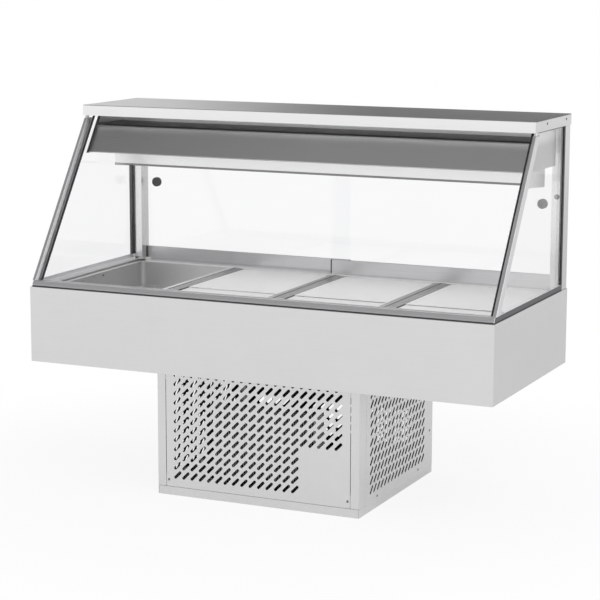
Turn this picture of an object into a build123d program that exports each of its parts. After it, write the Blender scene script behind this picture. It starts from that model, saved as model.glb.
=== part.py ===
"""Refrigerated display case: four-module cold well under glass, on a vented machinery base.

Origin on the floor under the middle of the case. X to the right along the front, Y to the back,
Z up. All sizes in millimetres.
"""
import os
from math import cos, hypot, radians, sin, sqrt

from build123d import *

os.makedirs("parts", exist_ok=True)

# Overall sizes
module = 325.0  # width of one food-pan module
module_count = 4
body_height = 210.0
floor_gap = 346.0  # floor to the lower edge of the body
glass_height = 453.0  # top of the body to the underside of the shelf
front_lean = 310.0  # how far the front glass leans back over that height
shelf_overhang = 13.5  # shelf in front of the top of the glazing frame
shelf_thickness = 30.0
sheet = 1.5  # stainless sheet of casing, shelf and panels

# Machinery base
base_width = 599.0
base_depth = 537.0
skirt_drop = 20.0  # how far the body's casing hangs below the base's top
post_face = 24.5  # width of a corner post seen from the front
post_side = 47.0  # depth of a front corner post seen from the side
rear_post_depth = 40.0
rail_height = 24.0  # bottom rail seen below the panels
rail_tube_height = 40.0
rail_tube_depth = 18.5
top_rail_height = 16.0
tube_wall = 1.5
tray_clearance = 0.5
weld_gap = 0.2  # joint between the frame's posts and rails
panel_gap = 1.5  # dark joints beside the front access panel
panel_foot_gap = 0.5  # joint under it
panel_seam = 0.5  # joint between a front post and the side panel
panel_recess = 0.5
lug_length = 20.0
lug_height = 34.0
lug_thickness = 2.0
panel_screw_inset = 7.0  # front screws inside the panel's edge
panel_screw_low = 19.0  # above the bottom rail
panel_screw_high = 26.0  # below the base's top
side_screw_low = 7.5
side_screw_front = 78.0
side_screw_back = 109.0
side_screw_up = 102.0
side_screw_high = 60.0
rear_screw_low = 30.0
side_slots_centre = 6.0
tray_plate = 2.0

# Slots of the vent panels
slot_length = 28.4
slot_width = 8.4
slot_angle = 45.0
slot_pitch_across = 25.2
slot_pitch_up = 26.0
slot_rows = 12
slot_columns_front = 20
slot_columns_side = 16
slot_lowest_row = 58.0
blank_columns = 5
blank_rows = 5
rear_slot_rows = 4

# Casing of the body
return_length = 62.0  # how far the front fascia wraps round each end
top_flange = 22.0
bottom_flange = 15.0
deck_drop = 5.0  # deck below the body's top edge
control_window_width = 226.0
control_window_height = 44.0
control_from_end = 197.5  # window centre from the body's right end
control_centre_up = 52.0  # window centre above the body's lower edge
control_recess = 9.0
control_lip = 8.0

# Cold well
well_end_gap = 7.0  # well inside the outer modules at each end
well_length = 516.0
deck_front_width = 56.0  # body's front to the well
deck_back_width = 42.0
deck_end_width = 34.5
well_depth = 71.0
well_sheet = 1.2
well_corner = 16.0
well_flange = 10.0
foam_wall = 20.0
foam_floor = 50.0
drain_from_end = 38.0  # drain's centre from the well's left end and back walls
drain_from_back = 39.0
drain_tube_radius = 19.0
drain_bore_radius = 16.0
drain_flange_radius = 29.0
drain_flange = 1.5
drain_drop = 146.0  # tube length below the well floor
strainer_hole_radius = 2.5
strainer_ring_radius = 9.0
strainer_holes = 8
drain_fit = 0.2
well_screw_drop = 9.0
well_screw_first = 130.0
well_screw_pitch = 155.0

# Evaporator tube bonded under the well floor
evaporator_radius = 4.75
evaporator_gap = 0.3
evaporator_bend = 30.0
evaporator_pitch = 70.0
evaporator_margin = 68.0  # from the well's end wall to the bends
feed_spread = 14.0  # half distance between the two feed tubes
feed_x = -200.0
tube_clearance = 1.0

# Dividers and deck trays
divider_width = 50.0
divider_edge_drop = 2.0
divider_crown = 3.5
divider_groove_width = 4.0
divider_groove_depth = 3.0
divider_side = 8.0
ledge = 10.0
ledge_plate = 2.0
tray_gap = 0.75
tray_fold = 6.5
tray_sheet = 1.5
tray_step_from_front = 170.0  # pressed step across each tray
tray_step = 2.5

# Drain valve
valve_radius = 24.0
valve_length = 44.0
stem_radius = 7.0
stem_reach = 12.0
stem_root = 4.0  # boss sunk into the valve's round body
boss_rim = 4.0
lever_eye = 5.0
nut_rim = 3.0
lever_length = 78.0
lever_width = 16.0
lever_plate = 3.0
lever_fit = 0.05
stem_nut = 4.0

# Glazing frame
frame_inset = 2.5  # frame face behind the body's front edge
post_inset = 2.5  # rear posts and side channels behind the body's end
extrusion_width = 16.0
extrusion_depth = 26.0
nose_width = 9.3  # front face of the extrusion, which widens towards the glass's back face
spacer_height = 8.0  # plastic spacer between the extrusion and the shelf
spacer_inset = 0.8
glass_setback = 9.0
glass_thickness = 6.0
glass_fit = 0.2
glass_bite = 8.0
side_glass_bite = 3.4
seal_height = 3.0
channel_height = 12.8
channel_width = 18.0
channel_floor = 5.0
channel_lip = 4.0  # upright lower edge of the front channel
front_channel_depth = 22.0
strip_wall = 2.0
upright_strip_depth = 11.0
gasket_width = 5.0
gasket_depth = 3.8
rear_post_width = 35.0
post_depth = 43.0
fixing_height = 257.5  # domed fixing above the body's top
fixing_radius = 7.3
fixing_washer = 1.5
fixing_dome = 4.0
fixing_from_glass = 11.8
fixing_step = 2.0
post_back_gap = 1.0
channel_setback = 0.5  # channels behind the frame's face
mitre_gap = 0.2
glass_head_gap = 1.0

# Lamp canopy and lamp
canopy_gap = 19.0  # between the front glass and the canopy
canopy_sheet = 1.2
canopy_drop = 103.4  # shelf underside to the canopy's lower edge
canopy_top_gap = 26.5
canopy_roll = 16.0
canopy_top_depth = 150.0
canopy_lip = 12.0
canopy_fit = 0.2
canopy_fold = 0.8
end_plate_drop = 106.4
end_plate_gap = 31.0  # end plate to rear post
end_plate_inset = 3.5  # end plate inside the corner extrusion's inner face
lamp_from_front = 115.0  # lamp behind the shelf's front edge
lamp_depth = 90.0
lamp_end_gap = 37.5
lamp_top = 79.0  # below the shelf underside
lamp_front_drop = 146.2
lamp_back_drop = 161.5
cap_reach = 50.0  # right end plate of the lamp in front of its front wall
cap_front_drop = 152.0
cap_back_drop = 162.0
hanger_spacing = 800.0
hanger_width = 30.0
hanger_thickness = 3.0
hanger_from_back = 8.0
diffuser_thickness = 3.0
diffuser_up = 12.0
led_bar_width = 24.0
led_bar_height = 10.0
led_size = 6.0
led_height = 2.0
led_count = 24
led_bar_inset = 20.0

# Sliding doors and their tracks
door_thickness = 9.0
door_glass = 5.0
run_gap = 0.6
fin = 1.5
track_base = 2.0
track_fin_height = 7.5
bead_width = 2.4
bead_height = 3.5
bead_clearance = 0.5
bead_headroom = 1.0
rail_gap = 0.4
door_rail_height = 40.0
door_overlap = 54.0
door_end_gap = 2.0
glass_in_rail = 16.0
top_track_depth = 24.0
top_strip_height = 12.0
top_strip_lift = 5.0  # room above the doors for lifting them out
pull_radius = 13.8
pull_flange = 2.0
pull_barrel_radius = 11.7
pull_hole_radius = 12.0
pull_from_end = 31.0
pull_height = 236.0  # above the door rail's underside
pull_recess_radius = 9.0
stop_block_length = 16.0
stop_block_height = 6.0

# Controls
controller_width = 76.0
controller_height = 34.0
controller_bezel = 4.0
controller_body_width = 70.0
controller_body_height = 28.0
controller_body_depth = 50.0
controller_offset = -60.0
cutout_fit = 0.3
button_width = 8.0
button_height = 5.0
button_proud = 1.0
button_depth = 3.0
button_fit = 0.3
button_pitch = 12.0
button_offset = 14.0
display_width = 28.0
display_height = 16.0
display_recess = 0.8
display_offset = -18.0
switch_pitch = 46.0
switch_offset = 32.0
switch_bezel_width = 32.0
switch_bezel_height = 26.0
switch_bezel = 2.5
switch_body_width = 28.0
switch_body_height = 22.0
switch_body_depth = 22.0
rocker_width = 20.0
rocker_half_height = 7.0
rocker_fit = 0.3
rocker_opening_half = 8.3
rocker_tilt = 9.0
rocker_ends = 4.0
rocker_waist = 2.6
rocker_under = 1.0
pivot_depth = 2.0
pivot_radius = 1.5
pivot_fit = 0.05
pivot_bite = 1.2

# Refrigeration machinery
condenser_width = 300.0
condenser_height = 250.0
condenser_core = 8.0
condenser_fin_depth = 18.0
condenser_fin = 1.5
condenser_fin_pitch = 7.5
condenser_front_gap = 50.0  # front panel to condenser
shroud_depth = 15.0
fan_opening_radius = 108.0
blade_tip_radius = 100.0
blade_chord = 52.0
blade_thickness = 2.0
blade_pitch = 28.0
blade_count = 5
hub_radius = 22.0
hub_length = 28.0
hub_gap = 4.0  # between hub and motor
blade_root = 4.0  # blade sunk into the hub
shaft_radius = 4.0
shaft_fit = 0.05
motor_radius = 40.0
motor_length = 62.0
arm_width = 14.0
arm_thickness = 3.0
compressor_x = -150.0
compressor_y = 95.0
compressor_radius = 70.0
compressor_height = 165.0
compressor_dome = 34.0
compressor_seam = 5.0
compressor_foot_span = 170.0
compressor_foot_width = 120.0
compressor_foot = 3.0
mount_radius = 13.0
mount_height = 14.0
mount_pin_radius = 4.0
terminal_width = 60.0
terminal_depth = 30.0
terminal_height = 70.0
terminal_up = 40.0
terminal_overlap = 10.0
touch_gap = 0.3  # between curved pieces that touch
line_radius = 4.75
line_bend = 18.0
line_drop = 60.0
liquid_drop = 40.0
discharge_offset = 30.0
drier_radius = 13.0
drier_length = 90.0
drier_gap = 30.0
drier_up = 90.0
outlet_up = 40.0
end_sheet = 4.0
gland_thread_radius = 10.0
gland_nut_radius = 14.0
gland_nut_length = 8.0
gland_cap_length = 18.0
gland_bore_radius = 5.0
gland_cap_step = 3.0
gland_locknut = 5.0
gland_x = 200.0
gland_height = 40.0

# Pan-head screws of the panels
screw_head_radius = 3.5
screw_head = 1.4
screw_shank_radius = 1.8
screw_length = 8.0
screw_fit = 0.3
shelf_screw_front = 217.0  # from the shelf's back edge
shelf_screw_back = 47.0
shelf_screw_up = 18.0

# Levels and planes worked out from the sizes above
well_width = module_count * module - 2 * well_end_gap
body_width = well_width + 2 * deck_end_width
body_depth = deck_front_width + well_length + deck_back_width
left = -body_width / 2
right = body_width / 2
front = -body_depth / 2
back = body_depth / 2
body_low = floor_gap
body_top = body_low + body_height
base_top = body_low + skirt_drop
shelf_low = body_top + glass_height
shelf_top = shelf_low + shelf_thickness
deck_top = body_top - deck_drop
deck_low = deck_top - sheet
lean = front_lean / glass_height
slant_stretch = sqrt(1 + lean * lean)
half_base = base_width / 2
base_front = -base_depth / 2
base_back = base_depth / 2


def block(low, high, mode=Mode.ADD):
    """A box between two corners."""
    middle = tuple((a + b) / 2 for a, b in zip(low, high))
    size = [b - a for a, b in zip(low, high)]
    with Locations(middle):
        Box(*size, mode=mode)


def square_tube(low, high, axis):
    """A tube of rectangular section, open at both ends along one axis."""
    block(low, high)
    inner_low = [a if i == axis else a + tube_wall for i, a in enumerate(low)]
    inner_high = [b if i == axis else b - tube_wall for i, b in enumerate(high)]
    block(inner_low, inner_high, mode=Mode.SUBTRACT)


def mirrored(side, low, high):
    """Corners of a box on the right end, moved to the left end when side is -1."""
    xs = sorted((side * low[0], side * high[0]))
    return (xs[0], low[1], low[2]), (xs[1], high[1], high[2])


def side_view(outline, x_from, x_to, mode=Mode.ADD):
    """An outline of (y, z) points drawn across the case and pushed from one x to the other."""
    with BuildSketch(Plane.YZ.offset(min(x_from, x_to))) as section:
        Polygon(*outline, align=None)
    extrude(section.sketch, amount=abs(x_to - x_from), mode=mode)


def slant_y(z, depth=0.0):
    """Y of the leaning frame's face at height z, or of a plane that lies depth behind it."""
    return front + frame_inset + (z - body_top) * lean + depth * slant_stretch


def slant_strip(depth_from, depth_to, z_from, z_to):
    """Outline of a leaning strip between two depths behind the frame's face."""
    return [
        (slant_y(z_from, depth_from), z_from),
        (slant_y(z_from, depth_to), z_from),
        (slant_y(z_to, depth_to), z_to),
        (slant_y(z_to, depth_from), z_to),
    ]


def leaning_bar(section, z_from, z_to):
    """A bar that leans with the frame's face, from its level section of (x, depth) points."""
    with BuildSketch(Plane.XY.offset(z_from)) as level:
        Polygon(*[(x, slant_y(z_from, depth)) for x, depth in section], align=None)
    extrude(level.sketch, amount=(z_to - z_from) * slant_stretch, dir=(0, lean, 1))


def offset_corners(points, distance):
    """Points of an open run of straight lines, moved sideways to the left by a distance."""
    normals = []
    for (ax, ay), (bx, by) in zip(points, points[1:]):
        length = hypot(bx - ax, by - ay)
        normals.append(((ay - by) / length, (bx - ax) / length))
    moved = [(points[0][0] + normals[0][0] * distance, points[0][1] + normals[0][1] * distance)]
    for point, first, second in zip(points[1:], normals, normals[1:]):
        share = distance / (1 + first[0] * second[0] + first[1] * second[1])
        moved.append(
            (point[0] + (first[0] + second[0]) * share, point[1] + (first[1] + second[1]) * share)
        )
    end = points[-1]
    moved.append((end[0] + normals[-1][0] * distance, end[1] + normals[-1][1] * distance))
    return moved


def folded_sheet(points, bends, thickness, x_from, x_to):
    """Sheet folded along a run of (y, z) points, its thickness to the left of the run."""
    with BuildSketch(Plane.YZ.offset(x_from)) as section:
        with BuildLine():
            outer = FilletPolyline(*points, radius=[inside + thickness for inside in bends])
            inner = FilletPolyline(*offset_corners(points, thickness), radius=bends)
            Line(outer @ 0, inner @ 0)
            Line(outer @ 1, inner @ 1)
        make_face()
    extrude(section.sketch, amount=x_to - x_from)


def screw_holes(planes):
    """Clearance holes for screws driven along each plane's -Z."""
    for plane in planes:
        with Locations(plane.location):
            Cylinder(screw_shank_radius + screw_fit, 2 * screw_length, mode=Mode.SUBTRACT)


def facing(x, y, z, direction):
    """Plane on a panel's face, its normal pointing out along direction."""
    along = (0, 1, 0) if abs(direction[0]) > 0 else (1, 0, 0)
    return Plane(origin=(x, y, z), x_dir=along, z_dir=direction)


slot_outline = SlotOverall(slot_length, slot_width, rotation=slot_angle).face().outer_wire()


def slot_places(columns, rows, lowest, centre, keep=lambda column, row: True):
    """Centres of a regular grid of slots, without the places that keep refuses."""
    first = centre - (columns - 1) / 2 * slot_pitch_across
    return [
        (first + column * slot_pitch_across, lowest + row * slot_pitch_up)
        for column in range(columns)
        for row in range(rows)
        if keep(column, row)
    ]


def pierced_panel(low, high, slots, holes):
    """Flat panel between two corners of its plane, with slanted slots and round holes."""
    outline = Wire.make_polygon([low, (high[0], low[1]), high, (low[0], high[1])])
    openings = [slot_outline.moved(Location(place)) for place in slots]
    openings += [Wire.make_circle(radius).moved(Location(place)) for place, radius in holes]
    add(Face(outline, openings))


# Screw places on the panels
front_panel_face = base_front + panel_recess
front_panel_x = half_base - post_face - panel_gap
screw_hole_radius = screw_shank_radius + screw_fit
front_screw_places = [
    (side * (front_panel_x - panel_screw_inset), z)
    for side in (-1, 1)
    for z in (rail_height + panel_screw_low, base_top - panel_screw_high)
]
front_screws = [facing(x, front_panel_face, z, (0, -1, 0)) for x, z in front_screw_places]
rear_screw_y = base_back - sheet - rear_post_depth / 2
side_screw_places = [
    (base_front + post_side + side_screw_front, rail_height + side_screw_low),
    (base_back - side_screw_back, rail_height + side_screw_low),
    (rear_screw_y, rail_height + side_screw_up),
    (rear_screw_y, base_top - side_screw_high),
]
side_screws = {
    side: [facing(side * half_base, y, z, (side, 0, 0)) for y, z in side_screw_places]
    for side in (-1, 1)
}
rear_screw_places = [
    (side * (half_base - sheet - post_face / 2), z)
    for side in (-1, 1)
    for z in (rail_height + rear_screw_low, base_top - side_screw_high)
]
rear_screws = [facing(x, base_back, z, (0, 1, 0)) for x, z in rear_screw_places]
shelf_screws = {
    side: [
        facing(side * right, back - inset, shelf_low + shelf_screw_up, (side, 0, 0))
        for inset in (shelf_screw_front, shelf_screw_back)
    ]
    for side in (-1, 1)
}
well_left = -well_width / 2
well_front = front + deck_front_width
well_back = back - deck_back_width
well_centre_y = (well_front + well_back) / 2
drain_x = well_left + drain_from_end
drain_y = well_back - drain_from_back
control_centre_x = right - control_from_end
well_floor = deck_low - well_depth
well_screws = [
    facing(
        well_left,
        well_front + well_screw_first + k * well_screw_pitch,
        deck_low - well_screw_drop,
        (1, 0, 0),
    )
    for k in (0, 1)
]

# Floor tray of the base
with BuildPart() as base_tray:
    tray_x = half_base - sheet - tray_clearance
    tray_y = base_depth / 2 - sheet - tray_clearance
    block((-tray_x, -tray_y, 0), (tray_x, tray_y, tray_plate))
base_tray.part.label = "base_tray"
export_step(base_tray.part, "parts/base_tray.step")

# Corner posts and rails: tubes with a thin skirt that hides the tray's edge
with BuildPart() as base_frame:
    inner_x = half_base - sheet
    inner_back = base_back - sheet
    lug_front = front_panel_face + sheet
    post_low = rail_tube_height + weld_gap
    rail_x = inner_x - rail_tube_depth - weld_gap
    skirt_x = inner_x - weld_gap
    lug_lows = (
        rail_height + panel_screw_low - lug_height / 2,
        base_top - panel_screw_high - lug_height / 2,
    )
    for side in (-1, 1):
        square_tube(
            *mirrored(
                side,
                (half_base - post_face, base_front, rail_height + weld_gap),
                (half_base, base_front + post_side, base_top),
            ),
            axis=2,
        )
        for lug_low in lug_lows:
            block(
                *mirrored(
                    side,
                    (half_base - post_face - lug_length, lug_front, lug_low),
                    (half_base - post_face, lug_front + lug_thickness, lug_low + lug_height),
                )
            )
        square_tube(
            *mirrored(
                side,
                (inner_x - post_face, inner_back - rear_post_depth, post_low),
                (inner_x, inner_back, base_top),
            ),
            axis=2,
        )
        square_tube(
            *mirrored(
                side,
                (inner_x - rail_tube_depth, base_front + post_side + weld_gap, tray_plate),
                (inner_x, inner_back - weld_gap, rail_tube_height),
            ),
            axis=1,
        )
        block(*mirrored(side, (inner_x, base_front, 0), (half_base, base_back, rail_height)))
        square_tube(
            *mirrored(
                side,
                (inner_x - rail_tube_depth, base_front + post_side + weld_gap, base_top - top_rail_height),
                (inner_x, inner_back - rear_post_depth - weld_gap, base_top),
            ),
            axis=1,
        )
        screw_holes(side_screws[side])
    square_tube(
        (-skirt_x, base_front + sheet, tray_plate),
        (skirt_x, base_front + sheet + rail_tube_depth, rail_height),
        axis=0,
    )
    block((-skirt_x, base_front, 0), (skirt_x, base_front + sheet, rail_height))
    square_tube(
        (-rail_x, inner_back - rail_tube_depth, tray_plate),
        (rail_x, inner_back, rail_tube_height),
        axis=0,
    )
    block((-skirt_x, inner_back, 0), (skirt_x, base_back, rail_height))
    screw_holes(front_screws + rear_screws)
base_frame.part.label = "base_frame"
export_step(base_frame.part, "parts/base_frame.step")

# Slotted access panel at the front, its lower right corner left blank
with BuildPart() as front_access_panel:
    blank_from = slot_columns_front - blank_columns
    with BuildSketch(Plane.XZ.offset(-front_panel_face - sheet)):
        pierced_panel(
            (-front_panel_x, rail_height + panel_foot_gap),
            (front_panel_x, base_top),
            slot_places(
                slot_columns_front,
                slot_rows,
                slot_lowest_row,
                0.0,
                lambda column, row: column < blank_from or row >= blank_rows,
            ),
            [(place, screw_hole_radius) for place in front_screw_places],
        )
    extrude(amount=sheet)
front_access_panel.part.label = "front_access_panel"
export_step(front_access_panel.part, "parts/front_access_panel.step")

# Slotted panels on both sides of the base
with BuildPart() as side_vent_panels:
    for panel_x in (-half_base, half_base - sheet):
        with BuildSketch(Plane.YZ.offset(panel_x)):
            pierced_panel(
                (base_front + post_side + panel_seam, rail_height),
                (base_back, base_top),
                slot_places(slot_columns_side, slot_rows, slot_lowest_row, side_slots_centre),
                [(place, screw_hole_radius) for place in side_screw_places],
            )
        extrude(amount=sheet)
side_vent_panels.part.label = "side_vent_panels"
export_step(side_vent_panels.part, "parts/side_vent_panels.step")

# Rear panel of the base, with a short band of slots and the hole for the cable gland
gland_place = (gland_x, rail_height + gland_height)
with BuildPart() as rear_vent_panel:
    with BuildSketch(Plane.XZ.offset(-base_back)):
        pierced_panel(
            (-half_base + sheet, rail_height),
            (half_base - sheet, base_top),
            slot_places(
                slot_columns_front, rear_slot_rows, slot_lowest_row + slot_pitch_up, 0.0
            ),
            [(place, screw_hole_radius) for place in rear_screw_places]
            + [(gland_place, gland_thread_radius + cutout_fit)],
        )
    extrude(amount=sheet)
rear_vent_panel.part.label = "rear_vent_panel"
export_step(rear_vent_panel.part, "parts/rear_vent_panel.step")

# Inlet gland for the mains lead: threaded body, nut inside, cap outside
gland_plane = facing(gland_x, base_back, rail_height + gland_height, (0, 1, 0))
with BuildPart() as cable_gland:
    with BuildSketch(gland_plane):
        RegularPolygon(gland_nut_radius, 6)
    extrude(amount=gland_nut_length)
    with BuildSketch(gland_plane.offset(gland_nut_length)):
        Circle(gland_nut_radius - gland_cap_step)
    extrude(amount=gland_cap_length - gland_nut_length)
    with BuildSketch(gland_plane):
        Circle(gland_thread_radius)
    extrude(amount=-sheet - gland_nut_length)
    with BuildSketch(gland_plane.offset(-sheet)):
        RegularPolygon(gland_nut_radius, 6)
    extrude(amount=-gland_locknut)
    with Locations(gland_plane.location):
        Cylinder(gland_bore_radius, 4 * gland_cap_length, mode=Mode.SUBTRACT)
cable_gland.part.label = "cable_gland"
export_step(cable_gland.part, "parts/cable_gland.step")

# Condenser: a finned block behind the front panel
condenser_front = front_panel_face + condenser_front_gap
condenser_back = condenser_front + 2 * condenser_fin_depth + condenser_core
with BuildPart() as condenser_coil:
    with BuildSketch(Plane.XY.offset(tray_plate)):
        with Locations((0, (condenser_front + condenser_back) / 2)):
            Rectangle(condenser_width, condenser_core)
        fins = int(condenser_width // condenser_fin_pitch)
        with Locations((0, (condenser_front + condenser_back) / 2)):
            with GridLocations(condenser_fin_pitch, 1, fins, 1):
                Rectangle(condenser_fin, condenser_back - condenser_front)
    extrude(amount=condenser_height)
    for side in (-1, 1):
        block(
            *mirrored(
                side,
                (condenser_width / 2 - end_sheet, condenser_front, tray_plate),
                (condenser_width / 2, condenser_back, tray_plate + condenser_height),
            )
        )
condenser_coil.part.label = "condenser_coil"
export_step(condenser_coil.part, "parts/condenser_coil.step")

# Fan shroud on the back of the condenser
fan_height = tray_plate + condenser_height / 2
shroud_back = condenser_back + shroud_depth
with BuildPart() as fan_shroud:
    block(
        (-condenser_width / 2, condenser_back, tray_plate),
        (condenser_width / 2, shroud_back, tray_plate + condenser_height),
    )
    block(
        (-condenser_width / 2 + sheet, condenser_back, tray_plate + sheet),
        (condenser_width / 2 - sheet, shroud_back - sheet, tray_plate + condenser_height - sheet),
        mode=Mode.SUBTRACT,
    )
    with Locations(facing(0, shroud_back, fan_height, (0, 1, 0)).location):
        Cylinder(fan_opening_radius, 4 * shroud_depth, mode=Mode.SUBTRACT)
fan_shroud.part.label = "fan_shroud"
export_step(fan_shroud.part, "parts/fan_shroud.step")

# Fan motor with its shaft, held by four arms that stand on the shroud
hub_back = shroud_back + hub_length / 2
motor_front = hub_back + hub_gap
with BuildPart() as fan_motor:
    with BuildSketch(Plane.XZ.offset(-motor_front)):
        with Locations((0, fan_height)):
            Circle(motor_radius)
    extrude(amount=-motor_length)
    with BuildSketch(Plane.XZ.offset(-motor_front)):
        with Locations((0, fan_height)):
            Circle(shaft_radius)
    extrude(amount=hub_length)
    arm_plane = motor_front + motor_length
    for across in (-1, 1):
        block(
            *mirrored(
                across,
                (0, arm_plane, fan_height - arm_width / 2),
                (fan_opening_radius + arm_width, arm_plane + arm_thickness, fan_height + arm_width / 2),
            )
        )
        foot_x = across * (fan_opening_radius + arm_width / 2)
        block(
            (foot_x - arm_width / 2, shroud_back, fan_height - arm_width / 2),
            (foot_x + arm_width / 2, arm_plane, fan_height + arm_width / 2),
        )
fan_motor.part.label = "fan_motor"
export_step(fan_motor.part, "parts/fan_motor.step")

# Axial fan blade, free to turn on the motor shaft
with BuildPart(facing(0, hub_back - hub_length / 2, fan_height, (0, 1, 0))) as fan_blade:
    Cylinder(hub_radius, hub_length)
    blade_length = blade_tip_radius - hub_radius + blade_root
    with PolarLocations(0, blade_count):
        with Locations(Location((blade_tip_radius - blade_length / 2, 0, 0), (blade_pitch, 0, 0))):
            Box(blade_length, blade_chord, blade_thickness)
    with Locations((0, 0, hub_length / 2)):
        Cylinder(shaft_radius + shaft_fit, 2 * hub_length, mode=Mode.SUBTRACT)
fan_blade.part.label = "fan_blade"
export_step(fan_blade.part, "parts/fan_blade.step")


def dome_height(offset):
    """Height of the compressor's dome above its straight shell, that far from its axis."""
    sphere = (compressor_radius**2 + compressor_dome**2) / (2 * compressor_dome)
    return sqrt(sphere**2 - offset**2) - sphere + compressor_dome


# Hermetic compressor: domed steel shell with a weld seam and a foot plate
foot_low = tray_plate + mount_height
shell_low = foot_low + compressor_foot
shell_top = shell_low + compressor_height - compressor_dome
with BuildPart() as compressor:
    with BuildSketch(Plane.XZ.offset(-compressor_y)):
        with BuildLine():
            Line((compressor_x, shell_low), (compressor_x + compressor_radius, shell_low))
            Line(
                (compressor_x + compressor_radius, shell_low),
                (compressor_x + compressor_radius, shell_top),
            )
            ThreePointArc(
                (compressor_x + compressor_radius, shell_top),
                (compressor_x + compressor_radius / 2, shell_top + dome_height(compressor_radius / 2)),
                (compressor_x, shell_top + compressor_dome),
            )
            Line((compressor_x, shell_top + compressor_dome), (compressor_x, shell_low))
        make_face()
    revolve(axis=Axis((compressor_x, compressor_y, 0), (0, 0, 1)))
    seam_height = shell_low + compressor_height * 0.55
    with Locations((compressor_x, compressor_y, seam_height)):
        Cylinder(compressor_radius + compressor_seam, compressor_seam)
    block(
        (
            compressor_x - compressor_foot_span / 2 - mount_radius,
            compressor_y - compressor_foot_width / 2 - mount_radius,
            foot_low,
        ),
        (
            compressor_x + compressor_foot_span / 2 + mount_radius,
            compressor_y + compressor_foot_width / 2 + mount_radius,
            shell_low,
        ),
    )
    with Locations((compressor_x, compressor_y, foot_low)):
        with GridLocations(compressor_foot_span, compressor_foot_width, 2, 2):
            Cylinder(mount_pin_radius + screw_fit, 4 * compressor_foot, mode=Mode.SUBTRACT)
compressor.part.label = "compressor"
export_step(compressor.part, "parts/compressor.step")

# Rubber mounts under the compressor's foot
with BuildPart() as compressor_mounts:
    with Locations((compressor_x, compressor_y, tray_plate)):
        with GridLocations(compressor_foot_span, compressor_foot_width, 2, 2):
            Cylinder(mount_radius, mount_height, align=(Align.CENTER, Align.CENTER, Align.MIN))
            Cylinder(
                mount_pin_radius,
                mount_height + 2 * compressor_foot,
                align=(Align.CENTER, Align.CENTER, Align.MIN),
            )
compressor_mounts.part.label = "compressor_mounts"
export_step(compressor_mounts.part, "parts/compressor_mounts.step")

# Terminal cover on the compressor's side
with BuildPart() as terminal_cover:
    cover_low = shell_low + terminal_up
    cover_y = compressor_y + compressor_radius - terminal_overlap
    block(
        (compressor_x - terminal_width / 2, cover_y, cover_low),
        (compressor_x + terminal_width / 2, cover_y + terminal_depth, cover_low + terminal_height),
    )
    with Locations((compressor_x, compressor_y, cover_low)):
        Cylinder(
            compressor_radius + compressor_seam + touch_gap, 3 * terminal_height, mode=Mode.SUBTRACT
        )
terminal_cover.part.label = "terminal_cover"
export_step(terminal_cover.part, "parts/terminal_cover.step")


def tube_along(points, radius, bend):
    """Round tube along straight runs with bends."""
    with BuildLine() as run:
        FilletPolyline(*points, radius=bend)
    path = run.line
    with BuildSketch(Plane(origin=path @ 0, z_dir=path % 0)) as section:
        Circle(radius)
    sweep(section.sketch, path=path)


# Evaporator: one tube under the well floor, with both ends going down into the base
tube_level = well_floor - well_sheet - evaporator_gap - evaporator_radius
feed_low = base_top
bend_right = well_width / 2 - evaporator_margin
bend_left = -bend_right + evaporator_pitch
outer_left = -bend_right - evaporator_pitch / 4
evaporator_route = [
    (feed_x, -feed_spread, feed_low),
    (feed_x, -feed_spread, tube_level),
    (outer_left, -feed_spread, tube_level),
    (outer_left, -3 * evaporator_pitch, tube_level),
    (bend_right, -3 * evaporator_pitch, tube_level),
    (bend_right, -2 * evaporator_pitch, tube_level),
    (bend_left, -2 * evaporator_pitch, tube_level),
    (bend_left, -evaporator_pitch, tube_level),
    (bend_right, -evaporator_pitch, tube_level),
]
evaporator_route += [(x, -y, z) for x, y, z in reversed(evaporator_route)]
with BuildPart() as evaporator_tube:
    tube_along(evaporator_route, evaporator_radius, evaporator_bend)
evaporator_tube.part.label = "evaporator_tube"
export_step(evaporator_tube.part, "parts/evaporator_tube.step")


# Copper lines and filter drier between compressor, condenser and evaporator
with BuildPart() as refrigerant_lines:
    suction_reach = dome_height(abs(feed_x - compressor_x) - line_radius) + touch_gap
    tube_along(
        [
            (feed_x, feed_spread, base_top),
            (feed_x, feed_spread, base_top - line_drop),
            (feed_x, compressor_y, base_top - line_drop),
            (feed_x, compressor_y, shell_top + suction_reach),
        ],
        line_radius,
        line_bend,
    )
    discharge_x = compressor_x + discharge_offset
    discharge_reach = dome_height(discharge_offset - line_radius) + touch_gap
    coil_y = (condenser_front + condenser_back) / 2
    coil_top = tray_plate + condenser_height
    crossing = coil_top + 2 * line_bend
    tube_along(
        [
            (discharge_x, compressor_y, shell_top + discharge_reach),
            (discharge_x, compressor_y, crossing),
            (discharge_x, coil_y, crossing),
            (discharge_x, coil_y, coil_top),
        ],
        line_radius,
        line_bend,
    )
    drier_x = -condenser_width / 2 - drier_gap
    drier_low = tray_plate + drier_up
    tube_along(
        [
            (-condenser_width / 2, coil_y, tray_plate + outlet_up),
            (drier_x, coil_y, tray_plate + outlet_up),
            (drier_x, coil_y, drier_low),
        ],
        line_radius,
        line_bend,
    )
    with Locations((drier_x, coil_y, drier_low + drier_length / 2)):
        Cylinder(drier_radius, drier_length)
    tube_along(
        [
            (drier_x, coil_y, drier_low + drier_length),
            (drier_x, coil_y, base_top - liquid_drop),
            (feed_x, -feed_spread, base_top - liquid_drop),
            (feed_x, -feed_spread, base_top),
        ],
        line_radius,
        line_bend,
    )
refrigerant_lines.part.label = "refrigerant_lines"
export_step(refrigerant_lines.part, "parts/refrigerant_lines.step")

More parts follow.
